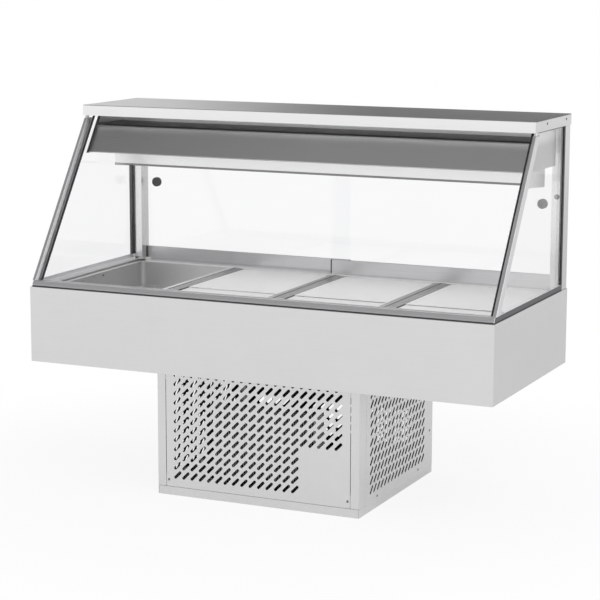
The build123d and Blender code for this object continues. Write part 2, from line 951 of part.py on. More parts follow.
# Front fascia of the body: one sheet that wraps round both ends
with BuildPart() as front_fascia:
    block((left, front, body_low), (right, front + sheet, body_top))
    block(
        (left + sheet, front + sheet, body_top - sheet),
        (right - sheet, front + top_flange, body_top),
    )
    block(
        (left + sheet, front + sheet, body_low),
        (right - sheet, front + bottom_flange, body_low + sheet),
    )
    for side in (-1, 1):
        block(
            *mirrored(
                side,
                (right - sheet, front + sheet, body_low),
                (right, front + return_length, body_top),
            )
        )
        block(
            *mirrored(
                side,
                (right - top_flange, front + top_flange, body_top - sheet),
                (right - sheet, front + return_length, body_top),
            )
        )
        block(
            *mirrored(
                side,
                (right - bottom_flange, front + bottom_flange, body_low),
                (right - sheet, front + return_length, body_low + sheet),
            )
        )
front_fascia.part.label = "front_fascia"
export_step(front_fascia.part, "parts/front_fascia.step")

# End panels behind the fascia's returns
with BuildPart() as end_panels:
    panel_front = front + return_length
    panel_back = back - sheet
    for side in (-1, 1):
        block(*mirrored(side, (right - sheet, panel_front, body_low), (right, panel_back, body_top)))
        block(
            *mirrored(
                side,
                (right - top_flange, panel_front, body_top - sheet),
                (right - sheet, panel_back, body_top),
            )
        )
        block(
            *mirrored(
                side,
                (right - bottom_flange, panel_front, body_low),
                (right - sheet, panel_back, body_low + sheet),
            )
        )
end_panels.part.label = "end_panels"
export_step(end_panels.part, "parts/end_panels.step")

# Rear panel of the body with the window for the controls
control_z = body_low + control_centre_up
with BuildPart() as body_rear_panel:
    block((left, back - sheet, body_low), (right, back, body_top))
    block(
        (left + bottom_flange, back - bottom_flange, body_low),
        (right - bottom_flange, back - sheet, body_low + sheet),
    )
    block(
        (
            control_centre_x - control_window_width / 2,
            back - sheet,
            control_z - control_window_height / 2,
        ),
        (
            control_centre_x + control_window_width / 2,
            back,
            control_z + control_window_height / 2,
        ),
        mode=Mode.SUBTRACT,
    )
body_rear_panel.part.label = "body_rear_panel"
export_step(body_rear_panel.part, "parts/body_rear_panel.step")

# Underside panel that stands on the base, with holes for drain and refrigerant tubes
with BuildPart() as underside_panel:
    block((left + sheet, front + sheet, base_top), (right - sheet, back - sheet, base_top + sheet))
    with Locations((feed_x, feed_spread, base_top), (feed_x, -feed_spread, base_top)):
        Cylinder(evaporator_radius + tube_clearance, 4 * sheet, mode=Mode.SUBTRACT)
    with Locations((drain_x, drain_y, base_top)):
        Cylinder(drain_tube_radius + tube_clearance, 4 * sheet, mode=Mode.SUBTRACT)
underside_panel.part.label = "underside_panel"
export_step(underside_panel.part, "parts/underside_panel.step")

# Deck: flat rim round the well, with an upstand below the body's top flange
with BuildPart() as deck_frame:
    block((left + sheet, front + sheet, deck_low), (right - sheet, back - sheet, deck_top))
    upstand_top = body_top - sheet
    block((left + sheet, front + sheet, deck_top), (right - sheet, front + 2 * sheet, upstand_top))
    for side in (-1, 1):
        block(
            *mirrored(
                side,
                (right - 2 * sheet, front + 2 * sheet, deck_top),
                (right - sheet, back - sheet, upstand_top),
            )
        )
    with BuildSketch(Plane.XY.offset(deck_low)):
        with Locations((0, well_centre_y)):
            RectangleRounded(well_width, well_length, well_corner)
    extrude(amount=deck_drop, mode=Mode.SUBTRACT)
deck_frame.part.label = "deck_frame"
export_step(deck_frame.part, "parts/deck_frame.step")

# Well liner: deep-drawn tub with a flange under the deck
with BuildPart() as well_liner:
    with BuildSketch(Plane.XY.offset(well_floor - well_sheet)):
        with Locations((0, well_centre_y)):
            RectangleRounded(
                well_width + 2 * well_sheet, well_length + 2 * well_sheet, well_corner + well_sheet
            )
    extrude(amount=well_depth + well_sheet)
    with BuildSketch(Plane.XY.offset(deck_low - well_sheet)):
        with Locations((0, well_centre_y)):
            RectangleRounded(
                well_width + 2 * well_flange, well_length + 2 * well_flange, well_corner + well_flange
            )
    extrude(amount=well_sheet)
    with BuildSketch(Plane.XY.offset(well_floor)):
        with Locations((0, well_centre_y)):
            RectangleRounded(well_width, well_length, well_corner)
    extrude(amount=well_depth, mode=Mode.SUBTRACT)
    with Locations((drain_x, drain_y, well_floor)):
        Cylinder(drain_tube_radius + drain_fit, 4 * well_sheet, mode=Mode.SUBTRACT)
    screw_holes(well_screws)
well_liner.part.label = "well_liner"
export_step(well_liner.part, "parts/well_liner.step")

# Foam insulation round the well, hollowed for the liner and the evaporator
foam_top = deck_low - well_sheet
foam_floor_top = tube_level - evaporator_radius - evaporator_gap
with BuildPart() as insulation:
    liner_x = well_width / 2 + well_sheet
    liner_front = well_front - well_sheet
    liner_back = well_back + well_sheet
    block(
        (-liner_x - foam_wall, liner_front - foam_wall, foam_floor_top - foam_floor),
        (liner_x + foam_wall, liner_back + foam_wall, foam_top),
    )
    block(
        (-liner_x, liner_front, foam_floor_top),
        (liner_x, liner_back, foam_top),
        mode=Mode.SUBTRACT,
    )
    bore = evaporator_radius + tube_clearance
    for feed_y in (feed_spread, -feed_spread):
        with Locations((feed_x, feed_y, foam_floor_top)):
            Cylinder(bore, 4 * foam_floor, mode=Mode.SUBTRACT)
        block(
            (feed_x - evaporator_bend, feed_y - bore, foam_floor_top - evaporator_bend),
            (feed_x + bore, feed_y + bore, foam_floor_top),
            mode=Mode.SUBTRACT,
        )
    with Locations((drain_x, drain_y, foam_floor_top)):
        Cylinder(drain_tube_radius + tube_clearance, 4 * foam_floor, mode=Mode.SUBTRACT)
    for plane in well_screws:
        with Locations(plane.location):
            Cylinder(screw_shank_radius + tube_clearance, 4 * screw_length, mode=Mode.SUBTRACT)
insulation.part.label = "insulation"
export_step(insulation.part, "parts/insulation.step")

# Dividers: roof-shaped bars across the well, grooved along the top, with ledges for the trays
divider_low = deck_top - divider_edge_drop - divider_side
half_divider = divider_width / 2
divider_places = [(k - module_count / 2) * module for k in range(1, module_count)]
with BuildPart() as dividers:
    for place in divider_places:
        tray_on_left = place > divider_places[0]
        edge = deck_top - divider_edge_drop
        left_edge = place - half_divider
        right_edge = place + half_divider
        ledge_left = left_edge - ledge if tray_on_left else left_edge + ledge
        ledge_low = divider_low - ledge_plate
        with BuildSketch(Plane.XZ.offset(-well_back)):
            with BuildLine():
                Polyline(
                    (left_edge, edge),
                    (left_edge, divider_low),
                    (ledge_left, divider_low),
                    (ledge_left, ledge_low),
                    (right_edge + ledge, ledge_low),
                    (right_edge + ledge, divider_low),
                    (right_edge, divider_low),
                    (right_edge, edge),
                    (place + divider_groove_width / 2, edge + divider_crown),
                    (place, edge + divider_crown - divider_groove_depth),
                    (place - divider_groove_width / 2, edge + divider_crown),
                    close=True,
                )
            make_face()
        extrude(amount=well_length)
    end_x = well_width / 2
    block(
        (end_x - ledge, well_front + well_corner, divider_low - ledge_plate),
        (end_x, well_back - well_corner, divider_low),
    )
dividers.part.label = "dividers"
export_step(dividers.part, "parts/dividers.step")

# Deck trays: flat plates with folded edges that rest on the ledges and lift out
tray_top = deck_top - divider_edge_drop
tray_step_y = well_front + tray_step_from_front
tray_ends = [place - half_divider for place in divider_places[1:]] + [well_width / 2]
for number, (place, tray_end) in enumerate(zip(divider_places, tray_ends), start=1):
    with BuildPart() as deck_tray:
        x_low = place + half_divider + tray_gap
        x_high = tray_end - tray_gap
        y_low = well_front + tray_gap
        y_high = well_back - tray_gap
        with BuildSketch(Plane.XY.offset(divider_low)):
            with Locations(((x_low + x_high) / 2, (y_low + y_high) / 2)):
                RectangleRounded(x_high - x_low, y_high - y_low, well_corner - tray_gap)
        extrude(amount=tray_top - divider_low)
        with BuildSketch(Plane.XY.offset(divider_low)):
            with Locations(((x_low + x_high) / 2, (y_low + y_high) / 2)):
                RectangleRounded(
                    x_high - x_low - 2 * tray_sheet,
                    y_high - y_low - 2 * tray_sheet,
                    well_corner - tray_gap - tray_sheet,
                )
        extrude(amount=tray_top - divider_low - tray_sheet - tray_step, mode=Mode.SUBTRACT)
        block(
            (x_low + tray_fold, tray_step_y, tray_top - tray_sheet - tray_step),
            (x_high - tray_fold, y_high - tray_fold, tray_top - tray_sheet),
            mode=Mode.SUBTRACT,
        )
        block(
            (x_low - tray_gap, y_low - tray_gap, tray_top - tray_step),
            (x_high + tray_gap, tray_step_y, tray_top + tray_step),
            mode=Mode.SUBTRACT,
        )
    deck_tray.part.label = f"deck_tray_{number}"
    export_step(deck_tray.part, f"parts/deck_tray_{number}.step")

# Drain outlet: flanged tube from the well floor with a strainer in its mouth
with BuildPart() as drain_outlet:
    with Locations((drain_x, drain_y, well_floor)):
        Cylinder(
            drain_flange_radius, drain_flange, align=(Align.CENTER, Align.CENTER, Align.MIN)
        )
        Cylinder(
            drain_tube_radius, drain_drop, align=(Align.CENTER, Align.CENTER, Align.MAX)
        )
        Cylinder(
            drain_bore_radius,
            drain_drop,
            align=(Align.CENTER, Align.CENTER, Align.MAX),
            mode=Mode.SUBTRACT,
        )
        Cylinder(strainer_hole_radius, 4 * drain_flange, mode=Mode.SUBTRACT)
        with PolarLocations(strainer_ring_radius, strainer_holes):
            Cylinder(strainer_hole_radius, 4 * drain_flange, mode=Mode.SUBTRACT)
drain_outlet.part.label = "drain_outlet"
export_step(drain_outlet.part, "parts/drain_outlet.step")

# Ball valve on the end of the drain tube, its stem towards the back
valve_top = well_floor - drain_drop
valve_middle = valve_top - valve_length / 2
with BuildPart() as drain_valve:
    with Locations((drain_x, drain_y, valve_top)):
        Cylinder(valve_radius, valve_length, align=(Align.CENTER, Align.CENTER, Align.MAX))
        Cylinder(drain_bore_radius, 4 * valve_length, mode=Mode.SUBTRACT)
    with BuildSketch(Plane.XZ.offset(-drain_y - valve_radius + stem_root)):
        with Locations((drain_x, valve_middle)):
            Circle(stem_radius + boss_rim)
    extrude(amount=-stem_reach)
    stem_face = drain_y + valve_radius - stem_root + stem_reach
    with BuildSketch(Plane.XZ.offset(-stem_face)):
        with Locations((drain_x, valve_middle)):
            Circle(stem_radius)
    extrude(amount=-lever_plate - 2 * lever_fit)
    with BuildSketch(Plane.XZ.offset(-stem_face - lever_plate - 2 * lever_fit)):
        with Locations((drain_x, valve_middle)):
            RegularPolygon(stem_radius + nut_rim, 6)
    extrude(amount=-stem_nut)
drain_valve.part.label = "drain_valve"
export_step(drain_valve.part, "parts/drain_valve.step")

# Lever of the drain valve, across the pipe when shut
with BuildPart() as valve_lever:
    with BuildSketch(Plane.XZ.offset(-stem_face - lever_fit)):
        with Locations((drain_x, valve_middle)):
            Circle(stem_radius + lever_eye)
        with Locations((drain_x + lever_length / 2, valve_middle)):
            SlotOverall(lever_length + lever_width, lever_width)
        with Locations((drain_x, valve_middle)):
            Circle(stem_radius + lever_fit, mode=Mode.SUBTRACT)
    extrude(amount=-lever_plate)
valve_lever.part.label = "valve_lever"
export_step(valve_lever.part, "parts/valve_lever.step")

# Black seals: strips between body and glass channels, beads behind the front glass, and
# strips on the side glasses' upper edges
channel_low = body_top + seal_height
channel_top = channel_low + channel_height
channel_out = right - post_inset
channel_in = channel_out - channel_width
lip_top = channel_low + channel_lip
lip_y = slant_y(lip_top, channel_setback)
floor_front = front_channel_depth + mitre_gap
strip_in = channel_out - strip_wall
side_glass_out = strip_in - glass_fit
side_glass_in = side_glass_out - glass_thickness
side_glass_high = shelf_low - seal_height
post_back = back - post_back_gap
post_front = post_back - post_depth
upright_front = post_front - upright_strip_depth
with BuildPart() as glazing_seals:
    side_view(
        [
            (lip_y, body_top),
            (slant_y(body_top, front_channel_depth), body_top),
            (slant_y(channel_low, front_channel_depth), channel_low),
            (lip_y, channel_low),
        ],
        -channel_out,
        channel_out,
    )
    for side in (-1, 1):
        side_view(
            [
                (slant_y(body_top, floor_front), body_top),
                (post_front, body_top),
                (post_front, channel_low),
                (slant_y(channel_low, floor_front), channel_low),
            ],
            side * channel_in,
            side * channel_out,
        )
        bead_out = right - extrusion_width
        bead_front = glass_setback + glass_thickness
        side_view(
            slant_strip(bead_front, bead_front + gasket_depth, channel_top, shelf_low),
            side * (bead_out - gasket_width),
            side * bead_out,
        )
        side_view(
            [
                (slant_y(side_glass_high, extrusion_depth), side_glass_high),
                (upright_front - mitre_gap, side_glass_high),
                (upright_front - mitre_gap, shelf_low),
                (slant_y(shelf_low, extrusion_depth), shelf_low),
            ],
            side * side_glass_in,
            side * side_glass_out,
        )
glazing_seals.part.label = "glazing_seals"
export_step(glazing_seals.part, "parts/glazing_seals.step")


def side_glass_outline(spare=0.0):
    """Outline of a side glass, made larger all round by a clearance."""
    low = channel_low + channel_floor - spare
    high = side_glass_high
    glass_back = upright_front - glass_head_gap + spare
    edge_depth = extrusion_depth - side_glass_bite - spare
    return [
        (slant_y(low, edge_depth), low),
        (glass_back, low),
        (glass_back, high),
        (slant_y(high, edge_depth), high),
    ]


front_glass_low = channel_low + channel_floor
front_glass_high = shelf_low - glass_head_gap
front_glass_x = right - extrusion_width + glass_bite

# Leaning corner extrusions on the front channel, slotted for the front glass and the side glass,
# each under a plastic spacer
extrusion_top = shelf_low - spacer_height
with BuildPart() as corner_extrusions:
    nose_depth = glass_setback + glass_thickness + glass_fit
    for side in (-1, 1):
        leaning_bar(
            [
                (side * right, 0.0),
                (side * (right - nose_width), 0.0),
                (side * (right - extrusion_width), nose_depth),
                (side * (right - extrusion_width), extrusion_depth),
                (side * right, extrusion_depth),
            ],
            channel_top,
            extrusion_top,
        )
        side_view(
            slant_strip(glass_setback - glass_fit, nose_depth, channel_top, extrusion_top),
            side * (right - extrusion_width),
            side * (front_glass_x + glass_fit),
            mode=Mode.SUBTRACT,
        )
        side_view(
            side_glass_outline(glass_fit),
            side * (side_glass_in - glass_fit),
            side * (side_glass_out + glass_fit),
            mode=Mode.SUBTRACT,
        )
        side_view(
            slant_strip(
                spacer_inset,
                glass_setback - glass_fit,
                extrusion_top + mitre_gap,
                shelf_low,
            ),
            side * (right - nose_width + spacer_inset),
            side * (right - spacer_inset),
        )
corner_extrusions.part.label = "corner_extrusions"
export_step(corner_extrusions.part, "parts/corner_extrusions.step")

# Channel that holds the front glass's lower edge, with an upright lip along its front
with BuildPart() as front_glass_channel:
    side_view(
        [
            (lip_y, channel_low),
            (slant_y(channel_low, front_channel_depth), channel_low),
            (slant_y(channel_top, front_channel_depth), channel_top),
            (slant_y(channel_top, channel_setback), channel_top),
            (lip_y, lip_top),
        ],
        -strip_in + mitre_gap,
        strip_in - mitre_gap,
    )
    side_view(
        slant_strip(
            glass_setback - glass_fit,
            glass_setback + glass_thickness + glass_fit,
            front_glass_low - glass_fit,
            front_glass_high + glass_fit,
        ),
        -front_glass_x - glass_fit,
        front_glass_x + glass_fit,
        mode=Mode.SUBTRACT,
    )
front_glass_channel.part.label = "front_glass_channel"
export_step(front_glass_channel.part, "parts/front_glass_channel.step")

# Front glass
with BuildPart() as front_glass:
    side_view(
        slant_strip(
            glass_setback, glass_setback + glass_thickness, front_glass_low, front_glass_high
        ),
        -front_glass_x,
        front_glass_x,
    )
front_glass.part.label = "front_glass"
export_step(front_glass.part, "parts/front_glass.step")

# Side glasses
with BuildPart() as side_glasses:
    for side in (-1, 1):
        side_view(side_glass_outline(), side * side_glass_in, side * side_glass_out)
side_glasses.part.label = "side_glasses"
export_step(side_glasses.part, "parts/side_glasses.step")

# Strips of the side glasses: an angle along the bottom, mitred to a bar between glass and post
floor_top = channel_low + channel_floor
with BuildPart() as side_glass_strips:
    for side in (-1, 1):
        side_view(
            [
                (slant_y(channel_low, floor_front), channel_low),
                (upright_front - mitre_gap, channel_low),
                (upright_front - mitre_gap, floor_top - glass_fit),
                (slant_y(floor_top, floor_front), floor_top - glass_fit),
            ],
            side * channel_in,
            side * channel_out,
        )
        side_view(
            [
                (lip_y, channel_low),
                (post_front - mitre_gap, channel_low),
                (upright_front - mitre_gap, channel_top),
                (slant_y(channel_top, channel_setback), channel_top),
                (lip_y, lip_top),
            ],
            side * strip_in,
            side * channel_out,
        )
        side_view(
            [
                (post_front, channel_low),
                (post_front, shelf_low),
                (upright_front, shelf_low),
                (upright_front, channel_top),
            ],
            side * side_glass_in,
            side * channel_out,
        )
side_glass_strips.part.label = "side_glass_strips"
export_step(side_glass_strips.part, "parts/side_glass_strips.step")

# Rear posts: tubes from the body's top to the shelf, with a hole for the domed fixing
post_inner = channel_out - rear_post_width
fixing_x = side_glass_in - fixing_from_glass
fixing_z = body_top + fixing_height
fixing_plane = facing(fixing_x, post_front, fixing_z, (0, -1, 0))
with BuildPart() as rear_posts:
    for side in (-1, 1):
        square_tube(
            *mirrored(side, (post_inner, post_front, body_top), (channel_out, post_back, shelf_low)),
            axis=2,
        )
    screw_holes([fixing_plane])
rear_posts.part.label = "rear_posts"
export_step(rear_posts.part, "parts/rear_posts.step")

# Domed fixing with a washer on the front of the right-hand post
with BuildPart() as post_fixing:
    with Locations(fixing_plane.location):
        Cylinder(fixing_radius, fixing_washer, align=(Align.CENTER, Align.CENTER, Align.MIN))
        Cylinder(screw_shank_radius, screw_length, align=(Align.CENTER, Align.CENTER, Align.MAX))
    with Locations(fixing_plane.offset(fixing_washer).location):
        Cone(
            fixing_radius - fixing_step,
            fixing_radius - 2 * fixing_step,
            fixing_dome,
            align=(Align.CENTER, Align.CENTER, Align.MIN),
        )
post_fixing.part.label = "post_fixing"
export_step(post_fixing.part, "parts/post_fixing.step")

# Shelf: folded top sheet with skirts, closed from below by a flat sheet
shelf_front = slant_y(shelf_low, 0.0) - shelf_overhang
with BuildPart() as shelf:
    block((left, shelf_front, shelf_low), (right, back, shelf_top))
    block(
        (left + sheet, shelf_front + sheet, shelf_low),
        (right - sheet, back - sheet, shelf_top - sheet),
        mode=Mode.SUBTRACT,
    )
    for side in (-1, 1):
        screw_holes(shelf_screws[side])
shelf.part.label = "shelf"
export_step(shelf.part, "parts/shelf.step")

with BuildPart() as shelf_underside:
    block(
        (left + sheet, shelf_front + sheet, shelf_low),
        (right - sheet, back - sheet, shelf_low + sheet),
    )
shelf_underside.part.label = "shelf_underside"
export_step(shelf_underside.part, "parts/shelf_underside.step")

# Lamp canopy behind the front glass: end plates on the shelf and a rolled front sheet between them
canopy_depth = glass_setback + glass_thickness + canopy_gap
canopy_low = shelf_low - canopy_drop
canopy_top = shelf_low - canopy_top_gap
plate_out = right - extrusion_width - end_plate_inset
plate_in = plate_out - sheet
with BuildPart() as canopy:
    plate_low = shelf_low - end_plate_drop
    plate_back = post_front - end_plate_gap
    canopy_back = slant_y(canopy_top, canopy_depth) + canopy_top_depth
    canopy_end = plate_in - canopy_fit
    for side in (-1, 1):
        side_view(
            [
                (slant_y(plate_low, canopy_depth), plate_low),
                (plate_back, plate_low),
                (plate_back, shelf_low),
                (slant_y(shelf_low, canopy_depth), shelf_low),
            ],
            side * plate_in,
            side * plate_out,
        )
    folded_sheet(
        [
            (canopy_back, canopy_top),
            (slant_y(canopy_top, canopy_depth), canopy_top),
            (slant_y(canopy_low, canopy_depth), canopy_low),
            (slant_y(canopy_low, canopy_depth) + canopy_lip, canopy_low),
        ],
        [canopy_roll, canopy_fold],
        canopy_sheet,
        -canopy_end,
        canopy_end,
    )
    block(
        (-canopy_end, canopy_back - canopy_sheet, canopy_top - canopy_sheet),
        (canopy_end, canopy_back, shelf_low),
    )
canopy.part.label = "canopy"
export_step(canopy.part, "parts/canopy.step")

# Lamp housing: trough between two end plates, on two hangers from the shelf
lamp_front_y = shelf_front + lamp_from_front
lamp_back_y = lamp_front_y + lamp_depth
lamp_half_length = right - lamp_end_gap
lamp_high = shelf_low - lamp_top
lamp_front_low = shelf_low - lamp_front_drop
lamp_back_low = shelf_low - lamp_back_drop
with BuildPart() as lamp_housing:
    trough_x = lamp_half_length - sheet
    block(
        (-trough_x, lamp_front_y, lamp_front_low),
        (trough_x, lamp_front_y + sheet, lamp_high),
    )
    block(
        (-trough_x, lamp_back_y - sheet, lamp_back_low),
        (trough_x, lamp_back_y, lamp_high),
    )
    block(
        (-trough_x, lamp_front_y + sheet, lamp_high - sheet),
        (trough_x, lamp_back_y - sheet, lamp_high),
    )
    for side, cap_front in ((-1, lamp_front_y), (1, lamp_front_y - cap_reach)):
        side_view(
            [
                (cap_front, shelf_low - cap_front_drop),
                (lamp_back_y, shelf_low - cap_back_drop),
                (lamp_back_y, lamp_high),
                (cap_front, lamp_high),
            ],
            side * trough_x,
            side * lamp_half_length,
        )
        hanger_x = side * hanger_spacing / 2
        hanger_y = lamp_back_y - hanger_from_back
        block(
            (hanger_x - hanger_width / 2, hanger_y - hanger_thickness / 2, lamp_high),
            (hanger_x + hanger_width / 2, hanger_y + hanger_thickness / 2, shelf_low),
        )
lamp_housing.part.label = "lamp_housing"
export_step(lamp_housing.part, "parts/lamp_housing.step")

# Clear cover held between the walls of the trough
with BuildPart() as lamp_diffuser:
    cover_front = lamp_front_y + sheet
    cover_back = lamp_back_y - sheet
    side_view(
        [
            (cover_front, lamp_front_low + diffuser_up),
            (cover_back, lamp_back_low + diffuser_up),
            (cover_back, lamp_back_low + diffuser_up + diffuser_thickness),
            (cover_front, lamp_front_low + diffuser_up + diffuser_thickness),
        ],
        -trough_x,
        trough_x,
    )
lamp_diffuser.part.label = "lamp_diffuser"
export_step(lamp_diffuser.part, "parts/lamp_diffuser.step")

# Bar with its row of light emitters, under the top of the trough
with BuildPart() as led_bar:
    bar_y = (lamp_front_y + lamp_back_y) / 2
    bar_high = lamp_high - sheet
    bar_low = bar_high - led_bar_height
    bar_x = trough_x - led_bar_inset
    block(
        (-bar_x, bar_y - led_bar_width / 2, bar_low),
        (bar_x, bar_y + led_bar_width / 2, bar_high),
    )
    with Locations((0, bar_y, bar_low - led_height / 2)):
        with GridLocations(2 * bar_x / led_count, 1, led_count, 1):
            Box(led_size, led_size, led_height)
led_bar.part.label = "led_bar"
export_step(led_bar.part, "parts/led_bar.step")

# Tracks of the sliding doors: one on the deck, one under the shelf
rear_lane = back - sheet - fin - run_gap - door_thickness / 2
lane_pitch = door_thickness + fin + 2 * run_gap
front_lane = rear_lane - lane_pitch
fin_ys = [
    front_lane - door_thickness / 2 - run_gap - fin,
    front_lane + door_thickness / 2 + run_gap,
    rear_lane + door_thickness / 2 + run_gap,
]
track_x = post_inner
with BuildPart() as door_tracks:
    track_front = fin_ys[0]
    track_back = fin_ys[2] + fin
    base_level = deck_top + track_base
    block((-track_x, track_front, deck_top), (track_x, track_back, base_level))
    for fin_y in fin_ys[1:]:
        block((-track_x, fin_y, base_level), (track_x, fin_y + fin, base_level + track_fin_height))
    for lane in (front_lane, rear_lane):
        block(
            (-track_x, lane - bead_width / 2, base_level),
            (track_x, lane + bead_width / 2, base_level + bead_height),
        )
    block(
        (-track_x, track_front, shelf_low - track_base),
        (track_x, track_back, shelf_low),
    )
    for fin_y in fin_ys:
        block(
            (-track_x, fin_y, shelf_low - top_track_depth),
            (track_x, fin_y + fin, shelf_low - track_base),
        )
door_tracks.part.label = "door_tracks"
export_step(door_tracks.part, "parts/door_tracks.step")

# White stop blocks on the track, at the far end of each door's lane
with BuildPart() as track_stops:
    for side, lane in ((-1, front_lane), (1, rear_lane)):
        block(
            *mirrored(
                side,
                (track_x - stop_block_length, lane - door_thickness / 2, base_level),
                (track_x, lane + door_thickness / 2, base_level + stop_block_height),
            )
        )
        block(
            *mirrored(
                side,
                (track_x - stop_block_length, lane - bead_width / 2, base_level),
                (track_x, lane + bead_width / 2, base_level + bead_height),
            ),
            mode=Mode.SUBTRACT,
        )
track_stops.part.label = "track_stops"
export_step(track_stops.part, "parts/track_stops.step")

# Sliding doors: glass in a bottom rail, a strip on its upper edge and a finger pull
rail_low = base_level + rail_gap
rail_high = rail_low + door_rail_height
glass_low = rail_high - glass_in_rail
strip_high = shelf_low - track_base - top_strip_lift
strip_low = strip_high - top_strip_height
glass_high = strip_high - fin
for side, lane, name in ((-1, rear_lane, "left_door"), (1, front_lane, "right_door")):
    outer_end = side * (post_inner - door_end_gap)
    inner_end = -side * door_overlap / 2
    door_from = min(outer_end, inner_end)
    door_to = max(outer_end, inner_end)
    with BuildPart() as door_glass_pane:
        block(
            (door_from + fin, lane - door_glass / 2, glass_low),
            (door_to - fin, lane + door_glass / 2, glass_high),
        )
        pull_x = outer_end - side * pull_from_end
        pull_z = rail_low + pull_height
        pull_plane = facing(pull_x, lane, pull_z, (0, -1, 0))
        with Locations(pull_plane.location):
            Cylinder(pull_hole_radius, 4 * door_glass, mode=Mode.SUBTRACT)
    door_glass_pane.part.label = f"{name}_glass"
    export_step(door_glass_pane.part, f"parts/{name}_glass.step")

    with BuildPart() as door_rails:
        for z_from, z_to in ((rail_low, rail_high), (strip_low, strip_high)):
            block(
                (door_from, lane - door_thickness / 2, z_from),
                (door_to, lane + door_thickness / 2, z_to),
            )
        block(
            (door_from + fin, lane - door_glass / 2, glass_low),
            (door_to - fin, lane + door_glass / 2, glass_high),
            mode=Mode.SUBTRACT,
        )
        block(
            (door_from, lane - bead_width / 2 - bead_clearance, rail_low),
            (door_to, lane + bead_width / 2 + bead_clearance, rail_low + bead_height + bead_headroom),
            mode=Mode.SUBTRACT,
        )
    door_rails.part.label = f"{name}_rails"
    export_step(door_rails.part, f"parts/{name}_rails.step")

    with BuildPart() as door_pull:
        with Locations(pull_plane.location):
            Cylinder(pull_radius, door_glass + 2 * pull_flange)
            Cylinder(2 * pull_radius, door_glass, mode=Mode.SUBTRACT)
            Cylinder(pull_barrel_radius, door_glass)
        with Locations(pull_plane.offset(-door_glass / 2 - pull_flange).location):
            Cylinder(pull_recess_radius, door_glass + pull_flange, mode=Mode.SUBTRACT)
    door_pull.part.label = f"{name}_pull"
    export_step(door_pull.part, f"parts/{name}_pull.step")

# Recessed control plate behind the window of the rear panel
panel_inside = back - sheet
plate_face = panel_inside - control_recess
window_x = control_window_width / 2
window_z = control_window_height / 2
controller_x = control_centre_x + controller_offset
switch_xs = [control_centre_x + switch_offset + k * switch_pitch for k in (0, 1)]
with BuildPart() as control_plate:
    lip_x = window_x + control_lip
    lip_z = window_z + control_lip
    block(
        (control_centre_x - lip_x, panel_inside - sheet, control_z - lip_z),
        (control_centre_x + lip_x, panel_inside, control_z + lip_z),
    )
    block(
        (control_centre_x - window_x - sheet, plate_face - sheet, control_z - window_z - sheet),
        (control_centre_x + window_x + sheet, panel_inside - sheet, control_z + window_z + sheet),
    )
    block(
        (control_centre_x - window_x, plate_face, control_z - window_z),
        (control_centre_x + window_x, panel_inside, control_z + window_z),
        mode=Mode.SUBTRACT,
    )
    cut_x = controller_body_width / 2 + cutout_fit
    cut_z = controller_body_height / 2 + cutout_fit
    block(
        (controller_x - cut_x, plate_face - 2 * sheet, control_z - cut_z),
        (controller_x + cut_x, plate_face, control_z + cut_z),
        mode=Mode.SUBTRACT,
    )
    for switch_x in switch_xs:
        cut_x = switch_body_width / 2 + cutout_fit
        cut_z = switch_body_height / 2 + cutout_fit
        block(
            (switch_x - cut_x, plate_face - 2 * sheet, control_z - cut_z),
            (switch_x + cut_x, plate_face, control_z + cut_z),
            mode=Mode.SUBTRACT,
        )
control_plate.part.label = "control_plate"
export_step(control_plate.part, "parts/control_plate.step")

# Temperature controller: bezel with a display recess and three button holes, body behind the plate
bezel_face = plate_face + controller_bezel
button_names = ("button_set", "button_down", "button_up")
button_places = [
    (controller_x + button_offset + (k - 0.5) * button_pitch, control_z) for k in range(len(button_names))
]
with BuildPart() as controller:
    block(
        (controller_x - controller_width / 2, plate_face, control_z - controller_height / 2),
        (controller_x + controller_width / 2, bezel_face, control_z + controller_height / 2),
    )
    block(
        (
            controller_x - controller_body_width / 2,
            plate_face - controller_body_depth,
            control_z - controller_body_height / 2,
        ),
        (controller_x + controller_body_width / 2, plate_face, control_z + controller_body_height / 2),
    )
    display_x = controller_x + display_offset
    block(
        (display_x - display_width / 2, bezel_face - display_recess, control_z - display_height / 2),
        (display_x + display_width / 2, bezel_face, control_z + display_height / 2),
        mode=Mode.SUBTRACT,
    )
    for button_x, button_z in button_places:
        block(
            (
                button_x - button_width / 2 - button_fit,
                bezel_face - button_depth - button_proud - button_fit,
                button_z - button_height / 2 - button_fit,
            ),
            (
                button_x + button_width / 2 + button_fit,
                bezel_face,
                button_z + button_height / 2 + button_fit,
            ),
            mode=Mode.SUBTRACT,
        )
controller.part.label = "controller"
export_step(controller.part, "parts/controller.step")

# Push buttons of the controller
for name, (button_x, button_z) in zip(button_names, button_places):
    with BuildPart() as push_button:
        block(
            (button_x - button_width / 2, bezel_face - button_depth, button_z - button_height / 2),
            (button_x + button_width / 2, bezel_face + button_proud, button_z + button_height / 2),
        )
    push_button.part.label = name
    export_step(push_button.part, f"parts/{name}.step")

